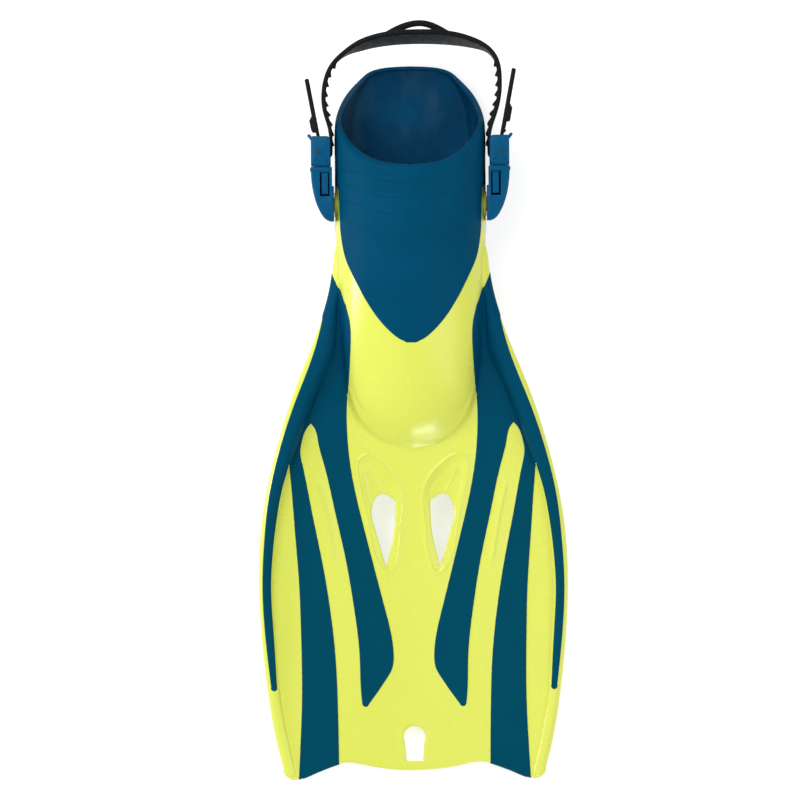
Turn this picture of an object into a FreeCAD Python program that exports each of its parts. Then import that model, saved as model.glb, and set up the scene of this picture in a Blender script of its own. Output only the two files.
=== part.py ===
import FreeCAD, Part
import math
import os

# Open-heel swim fin with a ladder strap and two quick-release buckles.
# Millimetres. +Z is up, +Y points to the heel and +X to the right of a person who looks down on it.
# The origin is the middle of the footprint, on the surface that the fin lies on.

Vec = FreeCAD.Vector

# ---- driving dimensions -------------------------------------------------------------------------

HEEL_Y = 234.0              # rear end of the sole
SOLE_SLOPE = 0.094          # rise of the sole towards the toes, per mm
WALL = 3.5                  # foot pocket wall
FOOTBED = 7.0               # sole thickness under the foot

BLADE_ROOT_Y = -40.0
BLADE_ROOT_Z = 36.0         # middle of the blade at its root
BLADE_SLOPE = 0.1322        # droop of the blade, per mm
WEB_ROOT = 4.6              # blade thickness beside the foot
WEB_TIP = 3.6               # blade thickness at the tip
TIP_Y = -265.6
CORE = 1.8                  # hard layer left under the soft shoulders
STRIPE_DEPTH = 3.0          # soft stripe on top of each rail
INSERT_SPLIT_Y = -47.0      # in front of this line the ribs go right through the blade
RECESS_DEPTH = 1.1          # scoop around each vent

PIVOT_Y = 138.0             # strap pivot on each side
PIVOT_Z = 50.0
BOSS_R = 9.0
BOSS_X = 53.2
STUD_R = 5.0
STUD_FOOT_X = 50.4          # bottom of the stud's blind hole
STUD_HEAD_R = 7.0
PRESS_GAP = 0.02
RUN_GAP = 0.05

SOCKET_X0 = 53.5            # inner face of the socket
SOCKET_HALF_Z = 15.5
SOCKET_WALL = 2.0
SOCKET_MOUTH_Y = 164.5
SOCKET_BORE_WALL_X = 56.3   # inner end of the wall that the stud passes through

FRAME_X0 = 55.6
FRAME_X1 = 69.4
FRAME_Y0 = 165.0
FRAME_Y1 = 186.0
FRAME_FLOOR_Y = 168.4
FRAME_HALF_Z = 15.2
CHEEK_HALF_Z = 11.6         # inner face of each cheek

ROLLER_X = 58.6
ROLLER_Y = 174.5
ROLLER_R = 1.9
ROLLER_PIN_R = 1.1
TURN_R = 2.2                # inside of the strap's turn round the roller
LEVER_X = 64.3
LEVER_Y = 174.4
LEVER_PIN_R = 1.4

PRONG_HINGE_Y = 161.5
PRONG_HINGE_Z = 10.6
PRONG_X0 = 57.4
PRONG_X1 = 62.0
PRONG_END_Y = 145.3

STRAP_HALF_Z = 10.0
STRAP_BUCKLE_T = 2.2        # strap thickness where it runs through the buckle
STRAP_SIDE_T = 3.1
STRAP_PAD_T = 3.4
TAIL_LEAN = 0.186           # outward lean of the strap's tails, per mm
TOOTH_PITCH = 7.0
LOOP_X = 6.8                # the finger loop sits a little off centre

FAR = 400.0                 # further than any part of the fin


# ---- outlines, as (y, half width) unless said otherwise -----------------------------------------

OUTLINE = [(112, 51.4), (107, 52.9), (91, 55), (65.5, 60.4), (40, 69.4), (6.7, 82.8), (-35, 95.9),
           (-77, 105), (-120, 108.4), (-161, 107.1), (-205, 102.7), (-245, 95.6), (-257, 92.5)]
TIP_CORNER = [(-257, 92.5), (-263.4, 90.2), (TIP_Y, 84.5)]
TIP_EDGE = [(TIP_Y, 84.5), (-264.2, 78), (-260.4, 69), (-256.3, 58.5), (-253.5, 47), (-255.2, 36),
            (-258.2, 19), (-259.5, 0)]
HEEL_OUTLINE = [(150, 58), (185, 53.4), (200, 51.3), (208, 48.8), (216.7, 44.8), (225, 39.3),
                (230.5, 34), (233.3, 27), (234.9, 15), (235.4, 0)]

POCKET_EDGE = [(152, 53.5), (149.5, 50.4), (141, 49.8), (124, 49.3), (107.5, 47.3), (99, 45.2),
               (90.7, 41.7), (74, 32.9), (57, 21), (48.7, 12.3), (41.7, 0)]
SHOULDER_INNER = [(94, 57), (82, 52), (74, 48.3), (65.5, 45.5), (57, 43.2), (48.7, 42.4),
                  (32, 42.9), (15, 44), (-1.7, 45.5), (-27, 45.2), (-44, 43.6), (-77, 37.1),
                  (-111, 28.7), (-145, 20.1), (-178, 14), (-187, 15.2), (-195, 19.8), (-203, 25.6),
                  (-215, 37)]
STRIPE_OUTER = [(94, 58), (76, 60.6), (60, 63.8), (48.7, 63.6), (32, 69.5), (-1.7, 82.6),
                (-35, 93.5), (-69, 101.2), (-94, 104.1), (-128, 105.9), (-161, 104.5),
                (-197, 100.7)]
STRIPE_END = [(-197, 100.7), (-202.8, 98.7), (-200.5, 95.2)]
INNER_RIB_OUTER = [(-15, 71), (-18.6, 68.3), (-27, 66.2), (-44, 62), (-77, 54.6), (-111, 47.3),
                   (-145, 41.8), (-178, 38.3), (-214, 35)]
OUTER_RIB_INNER = [(-15, 71), (-18.6, 74), (-27, 77.2), (-35, 78.4), (-44, 77), (-77, 70.7),
                   (-111, 64), (-145, 58.6), (-178, 55.1), (-212, 53.9), (-273, 52.6)]
OUTER_RIB_OUTER = [(-44, 86.5), (-60.6, 85), (-94, 82.6), (-128, 80.2), (-161, 79.2), (-212, 79),
                   (-240, 80.4), (-273, 83.4)]
RAIL_INNER = [(-44, 86.5), (-52, 89), (-60.6, 91.4), (-77, 94.7), (-111, 98.9), (-128, 99.8),
              (-161, 98.4), (-200, 96.3)]
RAIL_FOOT = [(92, 49), (60, 52.5), (33, 55.5), (18, 61.8), (-10, 73.7), (-35, 82.4), (-52, 87.8),
             (-77, 93.5), (-111, 97.7), (-128, 98.6), (-161, 97.2), (-200, 94.8), (-245, 87.2),
             (-274, 80.4)]

VENT = [(-64.8, 19.3), (-70, 25.5), (-78, 28), (-92, 25.8), (-114.5, 18.5), (-94, 14.2),
        (-74, 12.8)]
RECESS = [(-38, 32.5), (-41.5, 24), (-49, 15.8), (-58, 9.9), (-88, 9.5), (-110.5, 12.2),
          (-119.4, 17.4), (-114, 22.8), (-88, 29.9), (-66, 34.4), (-50, 37.4), (-41, 36.6)]
HANG_HOLE = [(-252.6, 5.7), (-239, 6.9), (-228.3, 0)]

# (y, z) of the rim of the foot opening, seen from the side
RIM = [(165, 97), (165.4, 93.5), (167.5, 90), (174.5, 81.5), (185, 69.5), (190.5, 62.5),
       (198, 47), (206, 34.5), (214, 25), (222, 16.5), (230, 10), (240, 8.2)]
# (y, z) of the top and bottom of the side rails
RAIL_TOP = [(96, 52), (75, 57), (50, 60), (20, 59), (-10, 55), (-40, 49), (-100, 38), (-161, 27.5),
            (-203, 20), (-245, 13), (-274, 8.6)]
RAIL_BOTTOM = [(96, 46), (75, 40), (50, 35.5), (20, 29), (-10, 23), (-40, 18.5), (-100, 12),
               (-161, 6.2), (-203, 2.8), (-245, 0.5), (-262, 0), (-274, 0.3)]
# (y, z) of the lower edge of the hard arms beside the foot
ARM_LOWER = [(156, 52), (151, 44), (143, 39), (128, 35), (100, 31.5), (60, 28), (20, 24.5),
             (-12, 21.5)]

# y, half width, top z, widest z, bottom z (None: just under the sole, so that the sole is flat)
POCKET_OUTER = [(-31, 9, 39.5, 36.5, 34), (-28, 19, 44, 36.5, 32), (-21, 31, 51.5, 37, 28),
                (-11, 39.8, 59, 38, 24.2), (2, 44.4, 66, 40, None), (20, 46.8, 73, 42, None),
                (45, 49.8, 80.5, 43.5, None), (75, 51.8, 87, 44.5, None),
                (105, 52.5, 91.5, 45, None), (138, 52.5, 94, 45, None), (165, 52.5, 95, 45, None),
                (190, 52.6, 94, 45, None), (206, 51, 92, 45, None), (222, 48.5, 90, 45, None),
                (240, 45, 88, 45, None)]
POCKET_INNER = [(-11, 24, 47, 38, 33), (-4, 34.5, 55, 39, 30), (8, 40.6, 63.5, 41, None),
                (25, 43.8, 71, 42.5, None), (48, 46.5, 77.5, 43.5, None),
                (75, 48.3, 83.5, 44.5, None), (105, 49, 88, 45, None), (138, 49, 90.5, 45, None),
                (165, 49, 91.5, 45, None), (190, 49, 90.5, 45, None), (206, 46.6, 89, 45, None),
                (220, 41.5, 87, 45, None), (231.6, 33, 86, 45, None)]
SOLE_FRONT = [(45, 60), (25, 50), (5, 40), (-6, 24), (-10, 0)]

# (x, y) of the strap's outer side, from the left buckle round the heel to the right buckle
STRAP_OUTER = [(-56.4, ROLLER_Y), (-56.4, 181), (-57.6, 192), (-60.4, 201.5), (-61.8, 211),
               (-60.8, 223), (-56.4, 235), (-48.5, 243.6), (-34, 251.4), (-15, 255.8),
               (LOOP_X, 257), (29, 255.8), (45, 252.4), (56.6, 246.8), (62.6, 238.6),
               (64.6, 226.5), (63.8, 211.5), (60.8, 200.5), (57.6, 191), (56.4, 181),
               (56.4, ROLLER_Y)]
STRAP_THICK = [STRAP_BUCKLE_T, STRAP_BUCKLE_T, 2.8, STRAP_SIDE_T, STRAP_SIDE_T, STRAP_SIDE_T,
               STRAP_SIDE_T, STRAP_SIDE_T, STRAP_PAD_T, STRAP_PAD_T, STRAP_PAD_T, STRAP_PAD_T,
               STRAP_PAD_T, STRAP_SIDE_T, STRAP_SIDE_T, STRAP_SIDE_T, STRAP_SIDE_T,
               STRAP_SIDE_T, 2.8, STRAP_BUCKLE_T, STRAP_BUCKLE_T]
# (x, z above the pivot) of the strap's width, seen from behind
STRAP_WIDTH = [(-80, STRAP_HALF_Z), (-60, STRAP_HALF_Z), (-50, STRAP_HALF_Z), (-36, 14.5),
               (-18, 19), (LOOP_X, 20), (28, 19), (42, 14.5), (53, STRAP_HALF_Z),
               (62, STRAP_HALF_Z), (80, STRAP_HALF_Z)]
# (x, y) of the finger loop's outer and inner sides
LOOP_OUTER = [(-33, 250.5), (-14, 260.9), (LOOP_X, 265.6), (28, 262.8), (46, 250.5)]
LOOP_INNER = [(-24.5, 250.5), (-11, 258.2), (LOOP_X, 262.5), (25, 259.8), (37.5, 250.5)]
LOOP_HALF_Z = 8.0
TAILS = {"right": {"end_y": 233.4, "block_y": 196.6, "block_length": 12.6},
         "left": {"end_y": 227.0, "block_y": 189.6, "block_length": 11.6}}


# ---- helpers ------------------------------------------------------------------------------------

def sole_z(y):
    """Height of the underside of the sole."""
    return SOLE_SLOPE * (HEEL_Y - y)


def blade_z(y):
    """Height of the middle of the blade."""
    return BLADE_ROOT_Z + BLADE_SLOPE * (y - BLADE_ROOT_Y)


def spline(points):
    """Smooth edge through points."""
    curve = Part.BSplineCurve()
    curve.interpolate(points)
    return curve.toShape()


def line(start, end):
    """Straight edge."""
    return Part.makeLine(start, end)


def arc(points):
    """Arc through three points."""
    return Part.Arc(*points).toShape()


def face_of(edges):
    """Flat face inside a closed chain of edges."""
    return Part.Face(Part.Wire(Part.__sortEdges__(edges)))


def plan(pairs, side=1, z=-30.0):
    """(y, half width) pairs as points in a level plane."""
    return [Vec(side * half, y, z) for y, half in pairs]


def profile(pairs, x=-FAR):
    """(y, z) pairs as points in an upright plane along the fin."""
    return [Vec(x, y, z) for y, z in pairs]


def upright(face, height=FAR):
    """Level face drawn up into a tall prism."""
    return face.extrude(Vec(0, 0, height))


def crosswise(face):
    """Upright face at the far left drawn across the whole fin."""
    return face.extrude(Vec(2 * FAR, 0, 0))


def strip_between(lower, upper):
    """Prism across the fin between two curves in (y, z) that run from rear to front."""
    low, high = profile(lower), profile(upper)
    edges = [spline(low), spline(high), line(low[0], high[0]), line(low[-1], high[-1])]
    return crosswise(face_of(edges))


def block(x0, x1, y0, y1, z0, z1):
    """Box between two corners."""
    return Part.makeBox(x1 - x0, y1 - y0, z1 - z0, Vec(x0, y0, z0))


def z_cylinder(radius, x, y, z0, z1):
    """Upright cylinder."""
    return Part.makeCylinder(radius, z1 - z0, Vec(x, y, z0), Vec(0, 0, 1))


def x_cylinder(radius, x0, x1, y, z):
    """Cylinder along X."""
    return Part.makeCylinder(radius, x1 - x0, Vec(x0, y, z), Vec(1, 0, 0))


def mirrored(shape):
    """The same shape on the other side of the fin."""
    return shape.mirror(Vec(0, 0, 0), Vec(1, 0, 0))


def plate(pairs, z0, z1):
    """Straight-sided plate from (x, y) corners, between two heights."""
    points = [Vec(x, y, z0) for x, y in pairs]
    return Part.Face(Part.makePolygon(points + points[:1])).extrude(Vec(0, 0, z1 - z0))


def lofted(sections, sole_offset):
    """Solid through rounded cross sections that are wide at mid height and fuller below."""
    wires = []
    for y, half, top, middle, bottom in sections:
        low = sole_z(y) + sole_offset if bottom is None else bottom
        wires.append(cross_section(y, half, top, middle, low))
    return Part.makeLoft(wires, True, False)


def cross_section(y, half, top, middle, bottom, count=32):
    """Closed superellipse across the fin, rounder above its widest line than below it."""
    points = []
    for step in range(count):
        angle = 2 * math.pi * step / count
        across, up = math.cos(angle), math.sin(angle)
        power = 2 / 2.2 if up >= 0 else 2 / 3.5
        height = top - middle if up >= 0 else middle - bottom
        points.append(Vec(half * math.copysign(abs(across) ** power, across), y,
                          middle + height * math.copysign(abs(up) ** power, up)))
    curve = Part.BSplineCurve()
    curve.interpolate(points, True)
    return Part.Wire([curve.toShape()])


def largest(shape):
    """The main solid of a boolean result, which must not have fallen apart."""
    solids = sorted(shape.Solids, key=lambda solid: solid.Volume)
    spare = sum(solid.Volume for solid in solids[:-1])
    if spare > 0.5:
        print("warning: loose volume", [round(solid.Volume, 2) for solid in solids])
    return solids[-1]


def closed_plan_prism(pairs, side=1):
    """Tall prism on a smooth closed outline."""
    curve = Part.BSplineCurve()
    curve.interpolate(plan(pairs, side), True)
    return upright(Part.Face(Part.Wire([curve.toShape()])))


# ---- blade, rails and foot pocket ---------------------------------------------------------------

def outline_prism():
    """Prism on the outline of the blade and its shoulders."""
    edges = []
    for side in (1, -1):
        edges.append(spline(plan(OUTLINE, side)))
        edges.append(arc(plan(TIP_CORNER, side)))
        edges.append(spline(plan(TIP_EDGE, side)))
    ends = [plan(OUTLINE, side)[0] for side in (1, -1)]
    edges.append(line(*ends))
    return upright(face_of(edges))


def web_band():
    """The thickness of the blade, seen from the side."""
    rear, front = 115.0, TIP_Y - 8
    corners = [(rear, blade_z(rear) - WEB_ROOT / 2), (rear, blade_z(rear) + WEB_ROOT / 2),
               (BLADE_ROOT_Y, BLADE_ROOT_Z + WEB_ROOT / 2),
               (front, blade_z(front) + WEB_TIP / 2), (front, blade_z(front) - WEB_TIP / 2),
               (BLADE_ROOT_Y, BLADE_ROOT_Z - WEB_ROOT / 2)]
    points = profile(corners)
    return crosswise(Part.Face(Part.makePolygon(points + points[:1])))


def rail(side):
    """Plan prism of one rail, from its foot out past the edge of the blade."""
    foot = plan(RAIL_FOOT, side)
    far = [Vec(side * 140, foot[0].y, foot[0].z), Vec(side * 140, foot[-1].y, foot[0].z)]
    edges = [spline(foot), line(foot[0], far[0]), line(*far), line(far[1], foot[-1])]
    return upright(face_of(edges))


def foot_shell_outer():
    """Outside of the foot pocket, flat under the sole and rounded at the heel."""
    shell = lofted(POCKET_OUTER, -3.0)
    under = profile([(HEEL_Y + 20, sole_z(HEEL_Y + 20)), (-80, sole_z(-80)), (-80, -60),
                     (HEEL_Y + 20, -60)])
    shell = shell.cut(crosswise(Part.Face(Part.makePolygon(under + under[:1]))))
    heel = [spline(plan(HEEL_OUTLINE, side)) for side in (1, -1)]
    ends = [plan(HEEL_OUTLINE, side)[0] for side in (1, -1)]
    front = [Vec(side * 60, -60, ends[0].z) for side in (1, -1)]
    heel += [line(ends[0], front[0]), line(*front), line(front[1], ends[1])]
    return shell.common(upright(face_of(heel)))


def foot_cavity():
    """Inside of the foot pocket, down to the flat footbed."""
    cavity = lofted(POCKET_INNER, FOOTBED - 2.0)
    under = profile([(HEEL_Y + 20, sole_z(HEEL_Y + 20) + FOOTBED), (-80, sole_z(-80) + FOOTBED),
                     (-80, -60), (HEEL_Y + 20, -60)])
    return cavity.cut(crosswise(Part.Face(Part.makePolygon(under + under[:1]))))


def opening_cutter():
    """Everything behind and above the rim of the foot opening."""
    rim = profile(RIM)
    top = [Vec(-FAR, RIM[0][0], 150), Vec(-FAR, RIM[-1][0], 150)]
    edges = [spline(rim), line(rim[0], top[0]), line(*top), line(top[1], rim[-1])]
    return crosswise(face_of(edges))


def hang_hole():
    """Arched hole near the tip."""
    corner, shoulder, crown = HANG_HOLE
    points = [plan([corner, shoulder, crown], side) for side in (1, -1)]
    edges = [line(points[0][0], points[1][0]), line(points[0][0], points[0][1]),
             line(points[1][0], points[1][1]),
             arc([points[0][1], points[0][2], points[1][1]])]
    return upright(face_of(edges))


def recess_band():
    """Space above the floor of the scoops round the vents."""
    floor = profile([(-30, blade_z(-30) + WEB_ROOT / 2 - RECESS_DEPTH),
                     (-130, blade_z(-130) + WEB_ROOT / 2 - 0.2 - RECESS_DEPTH),
                     (-130, 90), (-30, 90)])
    return crosswise(Part.Face(Part.makePolygon(floor + floor[:1])))


def blank_body():
    """Blade, rails and foot pocket as one body, before it is divided by material."""
    outline = outline_prism()
    web = outline.common(web_band())
    rail_band = strip_between(RAIL_BOTTOM, RAIL_TOP)
    body = foot_shell_outer().fuse(web)
    for side in (1, -1):
        body = body.fuse(outline.common(rail(side)).common(rail_band))
    body = body.cut(foot_cavity()).cut(opening_cutter()).cut(hang_hole())
    recess = recess_band()
    for side in (1, -1):
        body = body.cut(closed_plan_prism(VENT, side))
        body = body.cut(closed_plan_prism(RECESS, side).common(recess))
    return body


def soft_pocket_zone():
    """Region of the soft foot pocket: behind the V on the instep, and low round the sole."""
    edges = [spline(plan(POCKET_EDGE, 1) + plan(POCKET_EDGE, -1)[-2::-1])]
    ends = [plan(POCKET_EDGE, side)[0] for side in (1, -1)]
    rear = [Vec(side * 90, ends[0].y, ends[0].z) for side in (1, -1)]
    back = [Vec(side * 90, 260, ends[0].z) for side in (1, -1)]
    edges += [line(ends[0], rear[0]), line(rear[0], back[0]), line(*back),
              line(back[1], rear[1]), line(rear[1], ends[1])]
    instep = upright(face_of(edges))
    lower = strip_between([(156, -20), (100, -20), (40, -20), (-12, -20)], ARM_LOWER)
    front = [spline(plan(SOLE_FRONT, 1) + plan(SOLE_FRONT, -1)[-2::-1])]
    ends = [plan(SOLE_FRONT, side)[0] for side in (1, -1)]
    back = [Vec(side * 60, 200, ends[0].z) for side in (1, -1)]
    front += [line(ends[0], back[0]), line(*back), line(back[1], ends[1])]
    return instep.fuse(lower.common(upright(face_of(front))))


def insert_plan(side):
    """Prism on the soft shoulder, rail stripe and two ribs of one side."""
    front_y = -273.0
    inner, outer = plan(SHOULDER_INNER, side), plan(STRIPE_OUTER, side)
    end = plan(STRIPE_END, side)
    front = plan([(front_y, 42), (front_y, 88)], side)
    edges = [spline(inner), spline(outer), line(inner[0], outer[0]), line(inner[-1], front[0]),
             line(*front), arc(end), line(end[2], front[1])]
    whole = upright(face_of(edges))
    left_of, right_of = plan(INNER_RIB_OUTER, side), plan(OUTER_RIB_INNER, side)
    foot = plan([(front_y, 30)], side)[0]
    stripe = [spline(left_of), spline(right_of), line(left_of[-1], foot), line(foot, right_of[-1])]
    left_of, right_of = plan(OUTER_RIB_OUTER, side), plan(RAIL_INNER, side)
    foot = plan([(front_y, 95)], side)[0]
    panel = [spline(left_of), spline(right_of), line(right_of[-1], foot), line(foot, left_of[-1])]
    return whole.cut(upright(face_of(stripe))).cut(upright(face_of(panel)))


def insert_depth(side):
    """How deep the soft insert goes: to the core, right through, or just the rail's top."""
    low, high = 86.6, FAR
    core = profile([(120, blade_z(120) - WEB_ROOT / 2 + CORE),
                    (INSERT_SPLIT_Y, blade_z(INSERT_SPLIT_Y) - WEB_ROOT / 2 + CORE),
                    (INSERT_SPLIT_Y, 120), (120, 120)])
    shoulder = crosswise(Part.Face(Part.makePolygon(core + core[:1])))
    ribs = block(-low, low, -FAR, INSERT_SPLIT_Y, -30, 120)
    edge = [block(low, high, -FAR, INSERT_SPLIT_Y, -30, 120)]
    edge.append(mirrored(edge[0]))
    lowered = [(y, z - STRIPE_DEPTH) for y, z in RAIL_TOP]
    cover = strip_between(lowered, [(y, 120) for y, z in RAIL_TOP])
    stripe = edge[0 if side > 0 else 1].common(cover)
    return shoulder.fuse(ribs).fuse(stripe)


def stud_boss(side):
    """Flat boss on the arm for the strap's pivot."""
    boss = x_cylinder(BOSS_R, STUD_FOOT_X, BOSS_X, PIVOT_Y, PIVOT_Z)
    return boss if side > 0 else mirrored(boss)


def stud_hole(side):
    """Blind hole for the pivot stud."""
    hole = x_cylinder(STUD_R + PRESS_GAP, STUD_FOOT_X, BOSS_X + 5, PIVOT_Y, PIVOT_Z)
    return hole if side > 0 else mirrored(hole)


def hull_nodes():
    """The four moulded pieces of the fin's body."""
    body = blank_body()
    zone = soft_pocket_zone()
    pocket = body.common(zone)
    hard = body.cut(zone)
    inserts = {}
    for name, side in (("right", 1), ("left", -1)):
        region = insert_plan(side).common(insert_depth(side))
        inserts[name] = largest(hard.common(region))
        hard = hard.cut(region)
    for side in (1, -1):
        hard = hard.fuse(stud_boss(side).cut(zone)).cut(stud_hole(side))
    return {"blade_frame": largest(hard), "foot_pocket": largest(pocket),
            "flex_insert_left": inserts["left"], "flex_insert_right": inserts["right"]}


# ---- buckle, made for the right side ------------------------------------------------------------

def pivot_stud():
    """Headed stud on which the buckle swings."""
    shaft = x_cylinder(STUD_R, STUD_FOOT_X, SOCKET_BORE_WALL_X + 0.3, PIVOT_Y, PIVOT_Z)
    head = x_cylinder(STUD_HEAD_R, SOCKET_BORE_WALL_X + 0.3, SOCKET_BORE_WALL_X + 2.1, PIVOT_Y,
                      PIVOT_Z)
    return shaft.fuse(head).removeSplitter()


def socket_outline(inset=0.0):
    """Shark-fin outline of the socket in plan; inset gives its hollow."""
    if inset:
        inner_x, mouth = SOCKET_BORE_WALL_X, SOCKET_MOUTH_Y + 10
        nose = [(SOCKET_BORE_WALL_X, 129.4), (59.5, 130.6)]
        side = [(59.5, 130.6), (61.4, 134), (64.4, 141.2), (66.5, 149.6), (67.5, SOCKET_MOUTH_Y)]
    else:
        inner_x, mouth = SOCKET_X0, SOCKET_MOUTH_Y
        nose = [(SOCKET_X0, 126.3), (56, 126.3)]
        side = [(56, 126.3), (59.5, 128), (63, 132.6), (66.4, 140.6), (68.5, 149.5),
                (69.6, SOCKET_MOUTH_Y)]
    flat = [Vec(x, y, 0) for x, y in nose]
    curve = [Vec(x, y, 0) for x, y in side]
    corner = Vec(side[-1][0], mouth, 0)
    base = Vec(inner_x, mouth, 0)
    edges = [line(*flat), spline(curve), line(corner, base), line(base, flat[0])]
    if inset:
        edges.append(line(curve[-1], corner))
    return face_of(edges)


def buckle_socket():
    """Hollow socket that turns on the stud and takes the frame's prongs."""
    outer = socket_outline().extrude(Vec(0, 0, 2 * SOCKET_HALF_Z))
    outer.translate(Vec(0, 0, PIVOT_Z - SOCKET_HALF_Z))
    long_edges = [edge for edge in outer.Edges
                  if edge.BoundBox.ZLength < 0.01 and edge.BoundBox.XMax > 57
                  and edge.BoundBox.YLength > 20]
    outer = outer.makeFillet(1.6, long_edges)
    collar = block(55.2, 70.1, 161.4, SOCKET_MOUTH_Y - 0.8, PIVOT_Z - SOCKET_HALF_Z - 0.5,
                   PIVOT_Z + SOCKET_HALF_Z + 0.5)
    collar = collar.makeFillet(1.2, [edge for edge in collar.Edges if edge.BoundBox.YLength > 1])
    hollow = socket_outline(SOCKET_WALL).extrude(Vec(0, 0, 2 * (SOCKET_HALF_Z - SOCKET_WALL)))
    hollow.translate(Vec(0, 0, PIVOT_Z - SOCKET_HALF_Z + SOCKET_WALL))
    relief = block(SOCKET_X0 - 1, SOCKET_X0 + 1.3, 151, SOCKET_MOUTH_Y + 1, 0, 100)
    window = block(56.5, 63.2, 144, 160.6, 0, 100)
    bore = x_cylinder(STUD_R + RUN_GAP, SOCKET_X0 - 1, SOCKET_BORE_WALL_X + 0.5, PIVOT_Y, PIVOT_Z)
    body = outer.fuse(collar).cut(hollow).cut(relief).cut(window).cut(bore)
    return largest(body.removeSplitter())


def cheek(upper):
    """One side plate of the frame."""
    z0 = PIVOT_Z + CHEEK_HALF_Z if upper else PIVOT_Z - FRAME_HALF_Z
    height = FRAME_HALF_Z - CHEEK_HALF_Z
    body = block(FRAME_X0, FRAME_X1, FRAME_Y0, FRAME_Y1, z0, z0 + height)
    corners = [edge for edge in body.Edges
               if edge.BoundBox.ZLength > 1 and edge.BoundBox.YMin > FRAME_Y1 - 1]
    body = body.makeFillet(3.0, corners)
    outside = PIVOT_Z + FRAME_HALF_Z if upper else PIVOT_Z - FRAME_HALF_Z
    rim = [edge for edge in body.Edges
           if abs(edge.BoundBox.ZMin - outside) < 0.01 and abs(edge.BoundBox.ZMax - outside) < 0.01
           and edge.BoundBox.YMax > FRAME_Y0 + 0.5]
    return body.makeFillet(1.1, rim)


def buckle_frame():
    """Frame that carries roller and lever and plugs into the socket."""
    floor = block(FRAME_X0, FRAME_X1, FRAME_Y0, FRAME_FLOOR_Y, PIVOT_Z - FRAME_HALF_Z,
                  PIVOT_Z + FRAME_HALF_Z)
    plug_half = SOCKET_HALF_Z - SOCKET_WALL - 0.3
    plug = block(SOCKET_BORE_WALL_X + 0.4, 67.0, PRONG_HINGE_Y, FRAME_Y0, PIVOT_Z - plug_half,
                 PIVOT_Z + plug_half)
    body = floor.fuse(plug).fuse(cheek(True)).fuse(cheek(False)).removeSplitter()
    for sign in (1, -1):
        seat_z = PIVOT_Z + sign * PRONG_HINGE_Z
        body = body.cut(x_cylinder(1.0 + RUN_GAP, PRONG_X0 - 0.3, PRONG_X1 + 0.3, PRONG_HINGE_Y,
                                   seat_z))
        inner, outer = sign * (CHEEK_HALF_Z - 0.5), sign * (FRAME_HALF_Z + 1)
        body = body.cut(z_cylinder(LEVER_PIN_R + PRESS_GAP, LEVER_X, LEVER_Y,
                                   PIVOT_Z + min(inner, outer), PIVOT_Z + max(inner, outer)))
    body = body.cut(z_cylinder(ROLLER_PIN_R + PRESS_GAP, ROLLER_X, ROLLER_Y, PIVOT_Z - 13.6,
                               PIVOT_Z + 13.6))
    return largest(body)


def release_prong(upper):
    """Sprung prong: an arm in the socket and a button that fills the window."""
    sign = 1 if upper else -1
    barrel = x_cylinder(1.0, PRONG_X0, PRONG_X1, PRONG_HINGE_Y, PIVOT_Z + PRONG_HINGE_Z)
    low = PIVOT_Z + PRONG_HINGE_Z - 0.8
    arm = block(PRONG_X0, PRONG_X1, PRONG_END_Y, PRONG_HINGE_Y, low, low + 1.6)
    button = block(PRONG_X0, PRONG_X1, PRONG_END_Y, PRONG_HINGE_Y - 1.2, low, PIVOT_Z + 15.1)
    top = [edge for edge in button.Edges if edge.BoundBox.ZMin > PIVOT_Z + 15]
    button = button.makeFillet(0.6, top)
    prong = largest(barrel.fuse(arm).fuse(button).removeSplitter())
    if sign < 0:
        prong = prong.mirror(Vec(0, 0, PIVOT_Z), Vec(0, 0, 1))
    return prong


def strap_roller():
    """Sleeve that the strap turns round."""
    outer = z_cylinder(ROLLER_R, ROLLER_X, ROLLER_Y, PIVOT_Z - 11.2, PIVOT_Z + 11.2)
    return outer.cut(z_cylinder(ROLLER_PIN_R + RUN_GAP, ROLLER_X, ROLLER_Y, PIVOT_Z - 12,
                                PIVOT_Z + 12))


def roller_pin():
    """Steel pin in blind holes in the cheeks."""
    return z_cylinder(ROLLER_PIN_R, ROLLER_X, ROLLER_Y, PIVOT_Z - 13.6, PIVOT_Z + 13.6)


def lever_pins():
    """Pair of stub pins, one through each cheek."""
    lower = z_cylinder(LEVER_PIN_R, LEVER_X, LEVER_Y, PIVOT_Z - FRAME_HALF_Z - 0.3, PIVOT_Z - 10.4)
    upper = z_cylinder(LEVER_PIN_R, LEVER_X, LEVER_Y, PIVOT_Z + 10.4, PIVOT_Z + FRAME_HALF_Z + 0.3)
    return Part.makeCompound([lower, upper])


def ratchet_lever():
    """Lever between the cheeks: two ears, an outer plate, a thumb lip and a pawl."""
    outer_z, inner_z = 11.3, 10.35
    ear = [(LEVER_X - 1.6, LEVER_Y + 2.0), (LEVER_X + 0.6, LEVER_Y - 2.6), (67.6, 172.4),
           (69.4, 172.4), (69.4, 184), (67.4, 184)]
    ears = []
    for low, high in ((-outer_z, -inner_z), (inner_z, outer_z)):
        plate_part = plate(ear, PIVOT_Z + low, PIVOT_Z + high)
        knuckle = z_cylinder(2.7, LEVER_X, LEVER_Y, PIVOT_Z + low, PIVOT_Z + high)
        ears.append(plate_part.fuse(knuckle))
    cover = plate([(67.4, 172.4), (69.4, 172.4), (69.4, 183), (72.0, 186.4), (71.0, 187.6),
                   (69.6, 187.0), (67.4, 183.6)], PIVOT_Z - outer_z, PIVOT_Z + outer_z)
    pawl = plate([(67.5, 176.9), (65.9, 177.3), (64.6, 178.3), (64.7, 179.2), (66.2, 180.2),
                  (67.5, 182)], PIVOT_Z - 9.4, PIVOT_Z + 9.4)
    body = cover.fuse(ears[0]).fuse(ears[1]).fuse(pawl)
    body = body.cut(z_cylinder(LEVER_PIN_R + RUN_GAP, LEVER_X, LEVER_Y, 0, 100))
    return largest(body.removeSplitter())


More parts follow.
